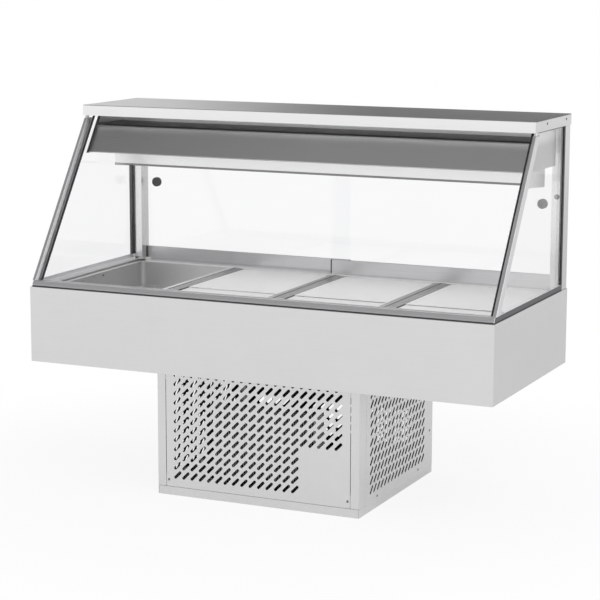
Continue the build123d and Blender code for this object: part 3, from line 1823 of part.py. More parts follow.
# Frames of the two rocker switches
pivot_y = plate_face - pivot_depth
with BuildPart() as switch_frames:
    for switch_x in switch_xs:
        block(
            (switch_x - switch_bezel_width / 2, plate_face, control_z - switch_bezel_height / 2),
            (
                switch_x + switch_bezel_width / 2,
                plate_face + switch_bezel,
                control_z + switch_bezel_height / 2,
            ),
        )
        block(
            (
                switch_x - switch_body_width / 2,
                plate_face - switch_body_depth,
                control_z - switch_body_height / 2,
            ),
            (switch_x + switch_body_width / 2, plate_face, control_z + switch_body_height / 2),
        )
        block(
            (
                switch_x - rocker_width / 2 - rocker_fit,
                pivot_y - rocker_half_height,
                control_z - rocker_opening_half,
            ),
            (
                switch_x + rocker_width / 2 + rocker_fit,
                plate_face + switch_bezel,
                control_z + rocker_opening_half,
            ),
            mode=Mode.SUBTRACT,
        )
        with Locations(facing(switch_x, pivot_y, control_z, (1, 0, 0)).location):
            Cylinder(
                pivot_radius + pivot_fit,
                rocker_width + 2 * rocker_fit + 2 * pivot_bite + 2 * pivot_fit,
                mode=Mode.SUBTRACT,
            )
switch_frames.part.label = "switch_frames"
export_step(switch_frames.part, "parts/switch_frames.step")

# Rockers, tilted to their off position
for name, switch_x in zip(("main_rocker", "light_rocker"), switch_xs):
    tilt = radians(rocker_tilt)
    rocker_plane = Plane(
        origin=(switch_x - rocker_width / 2, pivot_y, control_z),
        x_dir=(0, cos(tilt), -sin(tilt)),
        z_dir=(1, 0, 0),
    )
    with BuildPart() as rocker:
        with BuildSketch(rocker_plane):
            Polygon(
                (pivot_depth + rocker_ends, -rocker_half_height),
                (pivot_depth + rocker_waist, 0),
                (pivot_depth + rocker_ends, rocker_half_height),
                (pivot_depth - rocker_under, rocker_half_height),
                (-pivot_radius, 0),
                (pivot_depth - rocker_under, -rocker_half_height),
                align=None,
            )
        extrude(amount=rocker_width)
        with Locations(facing(switch_x, pivot_y, control_z, (1, 0, 0)).location):
            Cylinder(pivot_radius, rocker_width + 2 * rocker_fit + 2 * pivot_bite)
    rocker.part.label = name
    export_step(rocker.part, f"parts/{name}.step")

# Pan-head screws of the base panels, shelf and well
with BuildPart() as panel_screws:
    all_screws = front_screws + side_screws[-1] + side_screws[1] + rear_screws
    all_screws += shelf_screws[-1] + shelf_screws[1] + well_screws
    for plane in all_screws:
        with Locations(plane.location):
            Cylinder(
                screw_head_radius, screw_head, align=(Align.CENTER, Align.CENTER, Align.MIN)
            )
            Cylinder(
                screw_shank_radius, screw_length, align=(Align.CENTER, Align.CENTER, Align.MAX)
            )
panel_screws.part.label = "panel_screws"
export_step(panel_screws.part, "parts/panel_screws.step")
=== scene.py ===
from math import atan, cos, pi, radians, sin

import bmesh
import bpy
from mathutils import Matrix, Vector


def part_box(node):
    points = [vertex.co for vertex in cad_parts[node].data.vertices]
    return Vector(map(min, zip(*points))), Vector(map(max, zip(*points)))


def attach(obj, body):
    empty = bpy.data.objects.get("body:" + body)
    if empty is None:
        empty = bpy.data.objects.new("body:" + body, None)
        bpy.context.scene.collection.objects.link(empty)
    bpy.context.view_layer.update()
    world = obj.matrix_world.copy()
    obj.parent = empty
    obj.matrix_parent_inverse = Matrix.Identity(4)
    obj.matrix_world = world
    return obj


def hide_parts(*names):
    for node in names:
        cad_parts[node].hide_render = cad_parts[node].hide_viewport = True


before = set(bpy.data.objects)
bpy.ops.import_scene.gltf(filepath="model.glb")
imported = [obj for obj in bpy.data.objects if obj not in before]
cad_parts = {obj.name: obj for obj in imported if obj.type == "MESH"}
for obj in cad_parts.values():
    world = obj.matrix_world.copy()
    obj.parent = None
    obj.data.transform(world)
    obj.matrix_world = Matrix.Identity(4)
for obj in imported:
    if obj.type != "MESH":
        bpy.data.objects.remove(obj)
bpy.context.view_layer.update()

# Floor tray of the machinery base: one flat plate of zinc-coated steel that the whole plant is
# bolted to. Hot-dip zinc cools in crystals, so the sheet shows a grey-blue spangle.
zinc_dull = (0.40, 0.42, 0.44, 1)
zinc_bright = (0.60, 0.61, 0.62, 1)
zinc_crystals = 375
zinc_clouds = 30
crystal_share = 0.7


class Shade:
    """A socket among a material's nodes. Arithmetic on it adds Math nodes."""

    def __init__(self, tree, socket=None):
        self.tree = tree
        self.socket = socket

    def feed(self, node, sockets):
        """Sets sockets of a node, each to a value or to a link."""
        for name, value in sockets.items():
            if isinstance(value, Shade):
                self.tree.links.new(value.socket, node.inputs[name])
            else:
                node.inputs[name].default_value = value

    def node(self, kind, settings=None, sockets=None, output=0):
        """Adds any node: its settings are set first, then the values or links of its sockets."""
        made = self.tree.nodes.new("ShaderNode" + kind)
        for name, value in (settings or {}).items():
            if name == "stops":
                ramp = made.color_ramp.elements
                while len(ramp) < len(value):
                    ramp.new(1.0)
                for stop, (position, colour) in zip(ramp, value):
                    stop.position = position
                    stop.color = colour
            else:
                setattr(made, name, value)
        self.feed(made, sockets or {})
        return Shade(self.tree, made.outputs[output])

    def maths(self, operation, first, second):
        return self.node("Math", {"operation": operation}, {0: first, 1: second})

    def __add__(self, other):
        return self.maths("ADD", self, other)

    def __sub__(self, other):
        return self.maths("SUBTRACT", self, other)

    def __rsub__(self, other):
        return self.maths("SUBTRACT", other, self)

    def __mul__(self, other):
        return self.maths("MULTIPLY", self, other)

    def __gt__(self, other):
        return self.maths("GREATER_THAN", self, other)

    def __lt__(self, other):
        return self.maths("LESS_THAN", self, other)

    __radd__ = __add__
    __rmul__ = __mul__


def new_finish(name):
    """A new material, and a start for its nodes."""
    made = bpy.data.materials.new(name)
    made.use_nodes = True
    return made, Shade(made.node_tree)


def surface_of(finish):
    """The shader that makes a finish's surface."""
    return finish.node_tree.nodes["Principled BSDF"]


def coated(finish, colour, roughness, metal=0.0, normal=None):
    """Joins the looks of a finish to its surface, and gives the finish back."""
    looks = {"Base Color": colour, "Roughness": roughness, "Metallic": metal}
    if normal is not None:
        looks["Normal"] = normal
    Shade(finish.node_tree).feed(surface_of(finish), looks)
    return finish


def between(low, high, share):
    """A number that goes from low to high as the share goes from 0 to 1."""
    return low + (high - low) * share


def mixed(start, share, low, high):
    """A colour between two others. A Mix node's colours are its sockets 6 and 7 and its output 2."""
    return start.node("Mix", {"data_type": "RGBA"}, {0: share, 6: low, 7: high}, output=2)


def vectors(start, operation, first, second=(0, 0, 0), output="Vector"):
    """Arithmetic on vectors."""
    return start.node("VectorMath", {"operation": operation}, {0: first, 1: second}, output)


def stretched(start, scale):
    """The place on the piece, in metres, times a scale for all axes or one for each."""
    along = scale if isinstance(scale, tuple) else (scale, scale, scale)
    return vectors(start, "MULTIPLY", start.node("TexCoord", output="Object"), along)


def noise(start, scale, detail):
    """Clouds of light and dark, so many to a metre, with a detail of finer ones in them."""
    sockets = {"Vector": stretched(start, scale), "Scale": 1.0, "Detail": detail}
    return start.node("TexNoise", {}, sockets)


def cells(start, scale, output):
    """Cells like crystals or bubbles, so many to a metre."""
    return start.node("TexVoronoi", {}, {"Vector": stretched(start, scale), "Scale": 1.0}, output)


def dress(finish, *nodes):
    """Gives a finish to pieces of the case."""
    for node in nodes:
        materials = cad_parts[node].data.materials
        materials.clear()
        materials.append(finish)


def zinc_sheet():
    """Hot-dipped sheet: each crystal of the spangle has a shine of its own."""
    made, start = new_finish("zinc_sheet")
    crystal = start.node("SeparateColor", {}, {0: cells(start, zinc_crystals, "Color")})
    shine = between(noise(start, zinc_clouds, detail=3.0), crystal, crystal_share)
    return coated(
        made,
        colour=mixed(start, shine, zinc_dull, zinc_bright),
        roughness=between(0.30, 0.52, shine),
        metal=0.9,
    )


zinc = zinc_sheet()
dress(zinc, "base_tray")

# Frame of the base: stainless tubes, cut square and welded, then ground flush and brushed to a satin
# along their length. The corner posts and bottom rail are what shows around the panels.
black = (0, 0, 0, 1)
steel_level = 0.72
steel_rough = 0.42
rough_spread = 0.10
upright_grain = (900, 900, 6)
level_grain = (6, 900, 900)
brush_clouds = 11
line_share = 0.6
brush_dark = 0.93
brush_light = 1.07
brush_depth = 0.00004
brush_marks = 0.25
tube_edge = 0.002


def ease_edges(width, *nodes):
    """Rounds the cut and folded edges of pieces a little."""
    for node in nodes:
        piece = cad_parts[node]
        weld = piece.modifiers.new("weld", "WELD")
        weld.merge_threshold = 1e-5
        bevel = piece.modifiers.new("edges", "BEVEL")
        bevel.width = width
        bevel.segments = 2
        bevel.limit_method = "ANGLE"
        bevel.angle_limit = radians(40)
        normals = piece.modifiers.new("normals", "WEIGHTED_NORMAL")
        normals.keep_sharp = True


def grey(level):
    """A neutral colour, as a shader's socket takes it."""
    return (level, level, level, 1.0)


def darkened(start, colour, share):
    """A colour that keeps a share of its light."""
    return mixed(start, share, black, colour)


def painted_face_shade(start, face_shade):
    """Painted shade: how much of its colour a face keeps, by the axis that it looks along."""
    looks = start.node("NewGeometry", output="Normal")
    squared = vectors(start, "MULTIPLY", looks, looks)
    return vectors(start, "DOT_PRODUCT", squared, face_shade, "Value")


def brush_lines(start, grain):
    """Fine lines that run along the axis where the grain's scale is small."""
    return noise(start, grain, detail=5.0)


def brush_tone(start, lines):
    """The tone of a brushed sheet: its lines, mixed with slow clouds."""
    return between(noise(start, brush_clouds, detail=2.0), lines, line_share)


def bumped(start, height, strength, depth):
    """A skin that rises and falls by a depth in metres."""
    return start.node("Bump", {}, {"Strength": strength, "Distance": depth, "Height": height})


def brushed_steel(name, level, roughness, grain, marks=brush_marks, face_shade=(1, 1, 1), metal=1.0):
    """Stainless sheet of a grey level, brushed along its grain, with painted shade by the axis its
    faces look along.
    """
    made, start = new_finish(name)
    lines = brush_lines(start, grain)
    tone = brush_tone(start, lines)
    brushed = mixed(start, tone, grey(brush_dark * level), grey(brush_light * level))
    return coated(
        made,
        colour=darkened(start, brushed, painted_face_shade(start, face_shade)),
        roughness=between(roughness - rough_spread, roughness + rough_spread, tone),
        metal=metal,
        normal=bumped(start, lines, marks, brush_depth),
    )


base_satin = brushed_steel("base_satin", steel_level, steel_rough, upright_grain)
dress(base_satin, "base_frame")
ease_edges(tube_edge, "base_frame")

# Condenser: a block of thin aluminium fins pressed on copper tubes, with end sheets, stood on the
# tray behind the front panel. Dust greys the fins in clouds.
fin_dusty = (0.46, 0.46, 0.46, 1)
fin_clean = (0.68, 0.69, 0.70, 1)
fin_dust = 70


def clouded_metal(name, low, high, scale, detail, roughness):
    """Bare metal whose colour and roughness change together, in clouds or lines."""
    made, start = new_finish(name)
    cloud = noise(start, scale, detail)
    return coated(
        made,
        colour=mixed(start, cloud, low, high),
        roughness=between(*roughness, cloud),
        metal=1.0,
    )


bare_aluminium = clouded_metal(
    "bare_aluminium", fin_dusty, fin_clean, fin_dust, detail=6.0, roughness=(0.30, 0.60)
)
dress(bare_aluminium, "condenser_coil")

# Fan behind the condenser: a folded zinc-coated shroud with a round opening, a black enamelled motor
# that two arms hold on it, and a pressed aluminium blade on the motor's shaft.
enamel_clean = (0.012, 0.012, 0.013, 1)
enamel_dusty = (0.05, 0.05, 0.05, 1)
enamel_dust = 45
peel_scale = 2100
peel_strength = 0.2
peel_depth = 0.0002


def black_enamel():
    """Stoved enamel with the fine ripple of sprayed paint, and some dust."""
    made, start = new_finish("black_enamel")
    dust = noise(start, enamel_dust, detail=5.0)
    peel = noise(start, peel_scale, detail=2.0)
    return coated(
        made,
        colour=mixed(start, dust, enamel_clean, enamel_dusty),
        roughness=between(0.25, 0.55, dust),
        normal=bumped(start, peel, peel_strength, peel_depth),
    )


enamel = black_enamel()
dress(zinc, "fan_shroud")
dress(enamel, "fan_motor")
dress(bare_aluminium, "fan_blade")

# Hermetic compressor: two deep-drawn steel shells welded at the waist and enamelled black, on a
# pressed foot with rubber mounts. A plastic cover clips over its terminals.
mould_grain = 7500
mould_clouds = 125
spark_share = 0.4
spark_strength = 0.15
spark_depth = 0.0001
mould_dark = 0.86
mould_light = 1.14
mould_spread = 0.08
rubber_black = (0.022, 0.022, 0.022)
rubber_grain = 3500
cover_grey = (0.30, 0.31, 0.32)


def tinted(colour, share):
    """A colour made lighter or darker, as a shader's socket takes it."""
    return (*(channel * share for channel in colour), 1.0)


def moulded(name, colour, roughness, grain=mould_grain):
    """Moulded plastic or rubber with a fine spark-eroded grain."""
    made, start = new_finish(name)
    spark = noise(start, grain, detail=2.0)
    tone = between(noise(start, mould_clouds, detail=3.0), spark, spark_share)
    return coated(
        made,
        colour=mixed(start, tone, tinted(colour, mould_dark), tinted(colour, mould_light)),
        roughness=between(roughness - mould_spread, roughness + mould_spread, tone),
        normal=bumped(start, spark, spark_strength, spark_depth),
    )


rubber = moulded("black_rubber", rubber_black, roughness=0.62, grain=rubber_grain)
grey_cover = moulded("grey_cover", cover_grey, roughness=0.5)
dress(enamel, "compressor")
dress(rubber, "compressor_mounts")
dress(grey_cover, "terminal_cover")

# Refrigerant lines in sleeves of black foam, and the evaporator: soft-drawn copper tube bent by hand,
# brazed at its joints, dulled to brown in the air.
copper_brown = (0.45, 0.19, 0.10, 1)
copper_bright = (0.82, 0.46, 0.30, 1)
copper_tarnish = 190
sleeve_black = (0.018, 0.018, 0.018)
sleeve_grain = 1300
copper = clouded_metal(
    "drawn_copper", copper_brown, copper_bright, copper_tarnish, detail=6.0, roughness=(0.22, 0.52)
)
foam_sleeve = moulded("foam_sleeve", sleeve_black, roughness=0.8, grain=sleeve_grain)
dress(copper, "evaporator_tube")
dress(foam_sleeve, "refrigerant_lines")

# Vent panels of the base: satin stainless sheet with punched slanting slots, screwed to the frame.
# The front one lifts off and has a blank corner. Black on their insides is painted shade for the dark
# housing.
panel_grain = (900, 900, 8)
# Painted shade: black, rougher and not metal, on the faces that look into the housing.
inside_shade_black = (0.02, 0.02, 0.02, 1)
inside_shade_rough = 0.3
inside_shade_limit = -0.1
housing_low, housing_high = (Vector(corner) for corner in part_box("base_frame"))
housing_middle = (housing_low + housing_high) / 2


def inside_shaded_steel():
    """Satin sheet, black as painted shade on the faces that look into the housing."""
    made, start = new_finish("inside_shaded_steel")
    lines = brush_lines(start, panel_grain)
    tone = brush_tone(start, lines)
    looks = start.node("NewGeometry", output="Normal")
    reach = vectors(start, "SUBTRACT", start.node("TexCoord", output="Object"), housing_middle)
    inside_shade = vectors(start, "DOT_PRODUCT", looks, reach, "Value") < inside_shade_limit
    satin = mixed(start, tone, grey(brush_dark * steel_level), grey(brush_light * steel_level))
    satin_rough = between(steel_rough - rough_spread, steel_rough + rough_spread, tone)
    return coated(
        made,
        colour=mixed(start, inside_shade, satin, inside_shade_black),
        roughness=satin_rough + inside_shade_rough * inside_shade,
        metal=1 - inside_shade,
        normal=bumped(start, lines, brush_marks, brush_depth),
    )


dress(inside_shaded_steel(), "front_access_panel", "side_vent_panels", "rear_vent_panel")

# Cable gland in the rear panel: a moulded nylon body, nut and cap, made to grip a lead where it goes
# through the sheet. The lead isn't fitted.
nylon_black = (0.02, 0.02, 0.022)
black_plastic = moulded("black_plastic", nylon_black, roughness=0.45)
dress(black_plastic, "cable_gland")

# Cold well: a bright stainless liner in rigid foam, closed below by a zinc-coated panel. The drain
# leaves its back left corner through a steel outlet with a nickel-washed brass ball valve.
white = (1, 1, 1, 1)
foam_pale = (0.86, 0.80, 0.58, 1)
foam_deep = (0.62, 0.54, 0.34, 1)
foam_bubbles = 2000
foam_strength = 0.4
foam_depth = 0.0006
brass_plated = (0.62, 0.60, 0.54, 1)
brass_worn = (0.75, 0.66, 0.44, 1)
brass_wear = 300
lever_red = (0.45, 0.02, 0.02)
# Painted shade: the liner darkens towards its left end, over a reach from this end.
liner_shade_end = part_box("well_liner")[0][0]
liner_shade_reach = 0.22
liner_shade_share = 0.60


def rigid_foam():
    """Foam that was blown into the walls, with its fine closed cells."""
    made, start = new_finish("rigid_foam")
    bubble = cells(start, foam_bubbles, "Distance")
    return coated(
        made,
        colour=mixed(start, bubble, foam_pale, foam_deep),
        roughness=0.9,
        normal=bumped(start, bubble, foam_strength, foam_depth),
    )


def place(start, axis):
    """Where a point of the piece lies along an axis at rest, in metres."""
    return start.node("SeparateXYZ", {}, {0: start.node("TexCoord", output="Object")}, axis)


def ramped(start, value, low, high, ends=(0.0, 1.0), shape="LINEAR"):
    """A share that goes from one end to the other while a value goes from low to high."""
    sockets = {0: value, 1: low, 2: high, 3: ends[0], 4: ends[1]}
    return start.node("MapRange", {"interpolation_type": shape}, sockets)


def pressed_steel():
    """Bright sheet of the liner, darkened towards its left end by painted shade."""
    made, start = new_finish("pressed_steel")
    lines = brush_lines(start, level_grain)
    surface_look = ramped(start, place(start, "X"), liner_shade_end, liner_shade_end + liner_shade_reach, (liner_shade_share, 1.0))
    return coated(
        made,
        colour=darkened(start, white, surface_look * between(0.94, 1.06, lines)),
        roughness=between(0.32, 0.48, lines),
        metal=1.0,
    )


brass = clouded_metal(
    "plated_brass", brass_plated, brass_worn, brass_wear, detail=5.0, roughness=(0.16, 0.36)
)
dress(rigid_foam(), "insulation")
dress(zinc, "underside_panel")
dress(pressed_steel(), "well_liner")
dress(base_satin, "drain_outlet")
dress(brass, "drain_valve")
dress(moulded("lever_red", lever_red, roughness=0.35), "valve_lever")

# Casing of the body: a front fascia folded round both ends, end panels and a rear panel, all of
# stainless sheet with a satin brushed along their length.
cross_grain = (900, 6, 900)
# Painted shade: the casing's faces that look along x, its ends, keep a little less of their colour.
casing_face_shade = (0.93, 1, 1)
fold_edge = 0.0020
sheet_edge = 0.0008
casing_satin = brushed_steel(
    "casing_satin", steel_level, steel_rough, level_grain, face_shade=casing_face_shade
)
end_satin = brushed_steel("end_satin", steel_level, steel_rough, cross_grain, face_shade=casing_face_shade)
dress(casing_satin, "front_fascia", "body_rear_panel")
dress(end_satin, "end_panels")
ease_edges(fold_edge, "front_fascia", "body_rear_panel")
ease_edges(sheet_edge, "end_panels")

# Deck: a flanged rim of bright stainless sheet round the well, roof-shaped dividers across it with a
# groove along the top, and flat trays with folded edges that rest on the dividers' ledges.
deck_marks = 0.1
rim_level = 0.90
rim_rough = 0.34
rim_metal = 0.4
tray_level = 0.93
tray_rough = 0.36
tray_metal = 0.25
groove_steep = 0.5
slope_least = 0.03
highlight_end = -0.2
# Painted shade darkens the dividers' satin and their groove; a painted highlight lights their left
# slopes.
divider_shaded_satin = (grey(0.29), grey(0.37))
divider_painted_highlight = grey(0.97)
groove_painted_shade = grey(0.05)


def facing(start, axis):
    """How far a face looks along an axis, from -1 to 1."""
    return start.node("SeparateXYZ", {}, {0: start.node("NewGeometry", output="Normal")}, axis)


def grooved_steel():
    """Satin of the dividers, darker as painted shade: a painted highlight on the left-looking slopes
    towards the left, painted shade down in the groove.
    """
    made, start = new_finish("grooved_steel")
    lines = brush_lines(start, cross_grain)
    slope = facing(start, "X")
    groove_shade = (slope > groove_steep) + (slope < -groove_steep)
    painted_light = (slope < -slope_least) * (place(start, "X") < highlight_end)
    satin = mixed(start, lines, *divider_shaded_satin)
    bright = mixed(start, painted_light, satin, divider_painted_highlight)
    return coated(
        made,
        colour=mixed(start, groove_shade, bright, groove_painted_shade),
        roughness=between(0.20, 0.36, lines),
        metal=0.85,
    )


rim_bright = brushed_steel(
    "deck_bright", rim_level, rim_rough, level_grain, deck_marks, metal=rim_metal
)
tray_bright = brushed_steel(
    "tray_bright", tray_level, tray_rough, cross_grain, deck_marks, metal=tray_metal
)
dress(rim_bright, "deck_frame")
dress(grooved_steel(), "dividers")
dress(tray_bright, "deck_tray_1", "deck_tray_2", "deck_tray_3")
ease_edges(sheet_edge, "deck_frame", "dividers", "deck_tray_1", "deck_tray_2", "deck_tray_3")

# Glazing: leaning corner extrusions and channels of anodised aluminium on black seals, with clear
# toughened glass, and dark anodised strips outside the side glasses, their bottom angles darkened
# outside by painted reflection. White plastic spacers on the extrusions' tops carry the shelf, and a
# pale bead of silicone closes the seals at the deck.
glass_tint = (0.994, 0.995, 0.996, 1)
glass_index = 1.33
wipe_grain = (3, 3, 9)
upright_die = (900, 900, 12)
level_die = (12, 900, 900)
cross_die = (900, 12, 900)
# Painted shade: the extrusions' faces keep less of their colour by the axis that they look along.
corner_face_shade = (0.88, 0.80, 0.80)
corner_edge = 0.0012
spacer_white = (0.86, 0.86, 0.85, 1)
spacer_rough = 0.05
spacer_height = 0.0079
spacer_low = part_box("corner_extrusions")[1][2] - spacer_height
# Painted shade: the channel's faces that look forward, its upright lip, get a darker silver.
shaded_lip_facing = -0.95
strip_margin = 0.0005
strip_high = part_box("front_glass_channel")[1][2] + strip_margin
strip_tint = 0.8
strip_pale = 0.6
side_facing = 0.3
anodised_black = ((0.043, 0.043, 0.045, 1), (0.058, 0.058, 0.061, 1))
# Painted reflection: dark grey on the bottom angles' outward faces.
painted_reflection_greys = ((0.13, 0.13, 0.135, 1), (0.17, 0.17, 0.175, 1))
seal_black = (grey(0.019), grey(0.025))
bead_pale = (grey(0.62), grey(0.72))


def clear_glass():
    """Clear toughened glass: what is behind shows through, and its skin mirrors the room."""
    made, start = new_finish("clear_glass")
    nodes = made.node_tree.nodes
    wiped = noise(start, wipe_grain, detail=4.0)
    clear = start.node("BsdfTransparent", {}, {"Color": glass_tint})
    surface_look = {"Color": white, "Roughness": between(0.01, 0.03, wiped)}
    mirror = start.node("BsdfAnisotropic", {}, surface_look)
    leaving = start.node("NewGeometry", output="Backfacing")
    edge_on = start.node("Fresnel", {}, {"IOR": between(glass_index, 1 / glass_index, leaving)})
    skin = edge_on * between(0.96, 1.04, wiped)
    pane = start.node("MixShader", {}, {0: skin, 1: clear, 2: mirror})
    start.feed(nodes["Material Output"], {"Surface": pane})
    nodes.remove(surface_of(made))
    return made


def die_lines(start, grain):
    """Faint lines that the die leaves along an extrusion."""
    return noise(start, grain, detail=4.0)


def silver(start, lines, low, high):
    """Natural anodised aluminium between two levels, a little blue."""
    blue = 0.01
    return mixed(start, lines, (low, low, low + blue, 1), (high, high, high + blue, 1))


def capped_aluminium():
    """The leaning extrusions' satin silver, with painted shade by the axis that its faces look along,
    and the white plastic of the spacers on their tops.
    """
    made, start = new_finish("capped_aluminium")
    lines = die_lines(start, upright_die)
    plastic = place(start, "Z") > spacer_low
    bright = silver(start, lines, low=0.70, high=0.94)
    satin = darkened(start, bright, painted_face_shade(start, corner_face_shade))
    return coated(
        made,
        colour=mixed(start, plastic, satin, spacer_white),
        roughness=between(0.36, 0.48, lines) + spacer_rough * plastic,
        metal=1 - plastic,
    )


def lipped_aluminium():
    """The front channel's satin silver, with a darker silver on its upright lip as painted shade."""
    made, start = new_finish("lipped_aluminium")
    lines = die_lines(start, level_die)
    lip_shade = facing(start, "Y") < shaded_lip_facing
    bright = silver(start, lines, low=0.68, high=0.80)
    # Darker silver of the lip: painted shade.
    dull = silver(start, lines, low=0.36, high=0.44)
    return coated(
        made,
        colour=mixed(start, lip_shade, bright, dull),
        roughness=between(0.34, 0.50, lines),
        metal=1.0,
    )


def strip_aluminium():
    """Dark anodised strips. Their bottom angles are bare silver on floors and inner faces, and dark
    grey on outward faces as painted reflection.
    """
    made, start = new_finish("strip_aluminium")
    lines = die_lines(start, cross_die)
    outward = place(start, "X") * facing(start, "X")
    low = place(start, "Z") < strip_high
    bare = low * (outward < side_facing)
    dark = mixed(start, lines, *anodised_black)
    outer_reflection = mixed(start, low, dark, mixed(start, lines, *painted_reflection_greys))
    surface_of(made).inputs["Specular Tint"].default_value = grey(strip_tint)
    return coated(
        made,
        colour=mixed(start, bare, outer_reflection, silver(start, lines, low=0.78, high=0.92)),
        roughness=between(0.27, 0.43, lines),
        metal=1 - strip_pale * bare,
    )


def seal_rubber():
    """Black rubber of the seals, with the pale bead where they meet the deck inside."""
    made, start = new_finish("seal_rubber")
    grain = noise(start, rubber_grain, detail=2.0)
    outward = place(start, "X") * facing(start, "X")
    beaded = (place(start, "Z") < strip_high) * (outward < -side_facing)
    sealing = mixed(start, grain, *seal_black)
    bead = mixed(start, grain, *bead_pale)
    return coated(
        made,
        colour=mixed(start, beaded, sealing, bead),
        roughness=between(0.54, 0.70, grain),
    )


glass = clear_glass()
dress(seal_rubber(), "glazing_seals")
dress(capped_aluminium(), "corner_extrusions")
dress(lipped_aluminium(), "front_glass_channel")
dress(strip_aluminium(), "side_glass_strips")
dress(glass, "front_glass", "side_glasses")
ease_edges(corner_edge, "corner_extrusions")

# Rear posts: stainless tubes that stand on the body's back corners and carry the shelf. They are
# brushed along their height, and the right one has a domed plastic fixing.
post_level = 0.86
post_rough = 0.26
# Painted shade: the posts' faces that look along x keep less of their colour.
post_face_shade = (0.72, 1, 1)
tube_rounding = 0.001
post_satin = brushed_steel("post_satin", post_level, post_rough, upright_grain, face_shade=post_face_shade)
dress(post_satin, "rear_posts")
dress(grey_cover, "post_fixing")
ease_edges(tube_rounding, "rear_posts")

# Shelf over the case: a satin stainless sheet, folded down on all four sides with rounded bends,
# and closed below by a flat sheet.
shelf_level = 0.84
shelf_rough = 0.34
# Painted shade: the shelf's ends and its top keep less of their colour than its front.
shelf_face_shade = (0.80, 1, 0.80)
shelf_gauge = 0.0015
shelf_bend = 0.0022
bend_steps = 4
shelf_low, shelf_high = (Vector(corner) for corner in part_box("shelf"))


def block(size, centre=(0, 0, 0)):
    """A block of a size to work a piece from."""
    work = bmesh.new()
    bmesh.ops.create_cube(work, size=1.0)
    bmesh.ops.scale(work, vec=size, verts=work.verts)
    bmesh.ops.translate(work, vec=centre, verts=work.verts)
    return work


def rounded(work, edges, radius, steps):
    """Rounds edges of a piece that is being worked."""
    bmesh.ops.bevel(work, geom=edges, offset=radius, segments=steps, affect="EDGES", profile=0.5)


def smooth_mesh(name, work):
    """The finished mesh of a worked piece, shaded smooth."""
    mesh = bpy.data.meshes.new(name)
    work.to_mesh(mesh)
    work.free()
    mesh.polygons.foreach_set("use_smooth", [True] * len(mesh.polygons))
    return mesh


def new_piece(name, mesh, finish):
    """A new piece of the case, with the material slot of one of its nodes."""
    piece = bpy.data.objects.new(name, mesh)
    mesh.materials.append(finish)
    bpy.context.scene.collection.objects.link(piece)
    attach(piece, "case")
    return piece


shelf_satin = brushed_steel("shelf_satin", shelf_level, shelf_rough, level_grain, face_shade=shelf_face_shade)
dress(shelf_satin, "shelf", "shelf_underside")
shelf_work = block(shelf_high - shelf_low, (shelf_low + shelf_high) / 2)
underside = [face for face in shelf_work.faces if face.normal.z < -0.5]
open_rim = {edge for face in underside for edge in face.edges}
bmesh.ops.delete(shelf_work, geom=underside, context="FACES_ONLY")
folds = [edge for edge in shelf_work.edges if edge not in open_rim]
rounded(shelf_work, folds, shelf_bend, bend_steps)
shelf_mesh = smooth_mesh("shelf_sheet", shelf_work)
shelf_sheet = new_piece("shelf_sheet", shelf_mesh, shelf_satin)
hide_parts("shelf")
thick = shelf_sheet.modifiers.new("sheet", "SOLIDIFY")
thick.thickness = shelf_gauge
thick.offset = -1.0
even = shelf_sheet.modifiers.new("normals", "WEIGHTED_NORMAL")
even.keep_sharp = True

# Canopy behind the top of the front glass: stainless sheet rolled to a soft nose along its front and
# hung from the shelf by its end plates. Painted highlight lights the roll, and painted shade darkens
# its flat top and its left end.
canopy_low, canopy_high = (Vector(corner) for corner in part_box("canopy"))
# Painted highlight and shade by how far a face looks up: the roll light, its flat top dark.
canopy_painted_light = [
    (0.00, grey(0.62)),
    (0.58, grey(0.66)),
    (0.72, grey(0.95)),
    (0.84, grey(0.60)),
    (0.93, grey(0.20)),
    (1.00, grey(0.20)),
]
canopy_tint = 0.4
canopy_edge = 0.0010
roll_start_drop = 0.050
roll_end_drop = 0.018
roll_start = canopy_high.z - roll_start_drop
roll_end = canopy_high.z - roll_end_drop
# Painted highlight on the roll.
roll_painted_highlight = grey(0.98)
flat_facing = 0.8
# Painted shade: darker towards the canopy's left end.
left_shade_start = -0.65
left_shade_end = 0.05
left_shade_share = 0.76


def rolled_steel():
    """Satin of the canopy: painted highlight and shade by how far each face looks up, and painted
    shade towards its left end.
    """
    made, start = new_finish("rolled_steel")
    lines = brush_lines(start, level_grain)
    upward = facing(start, "Z")
    tone = start.node("ValToRGB", {"stops": canopy_painted_light}, {0: upward})
    rolled = ramped(start, place(start, "Z"), roll_start, roll_end, shape="SMOOTHSTEP")
    roll_highlight = mixed(start, rolled * (upward < flat_facing), tone, roll_painted_highlight)
    painted_light = ramped(start, place(start, "X"), left_shade_start, left_shade_end, (left_shade_share, 1.0))
    surface_of(made).inputs["Specular Tint"].default_value = grey(canopy_tint)
    return coated(
        made,
        colour=darkened(start, roll_highlight, painted_light * between(0.95, 1.05, lines)),
        roughness=between(0.24, 0.36, lines),
        metal=1.0,
    )


dress(rolled_steel(), "canopy")
ease_edges(canopy_edge, "canopy")

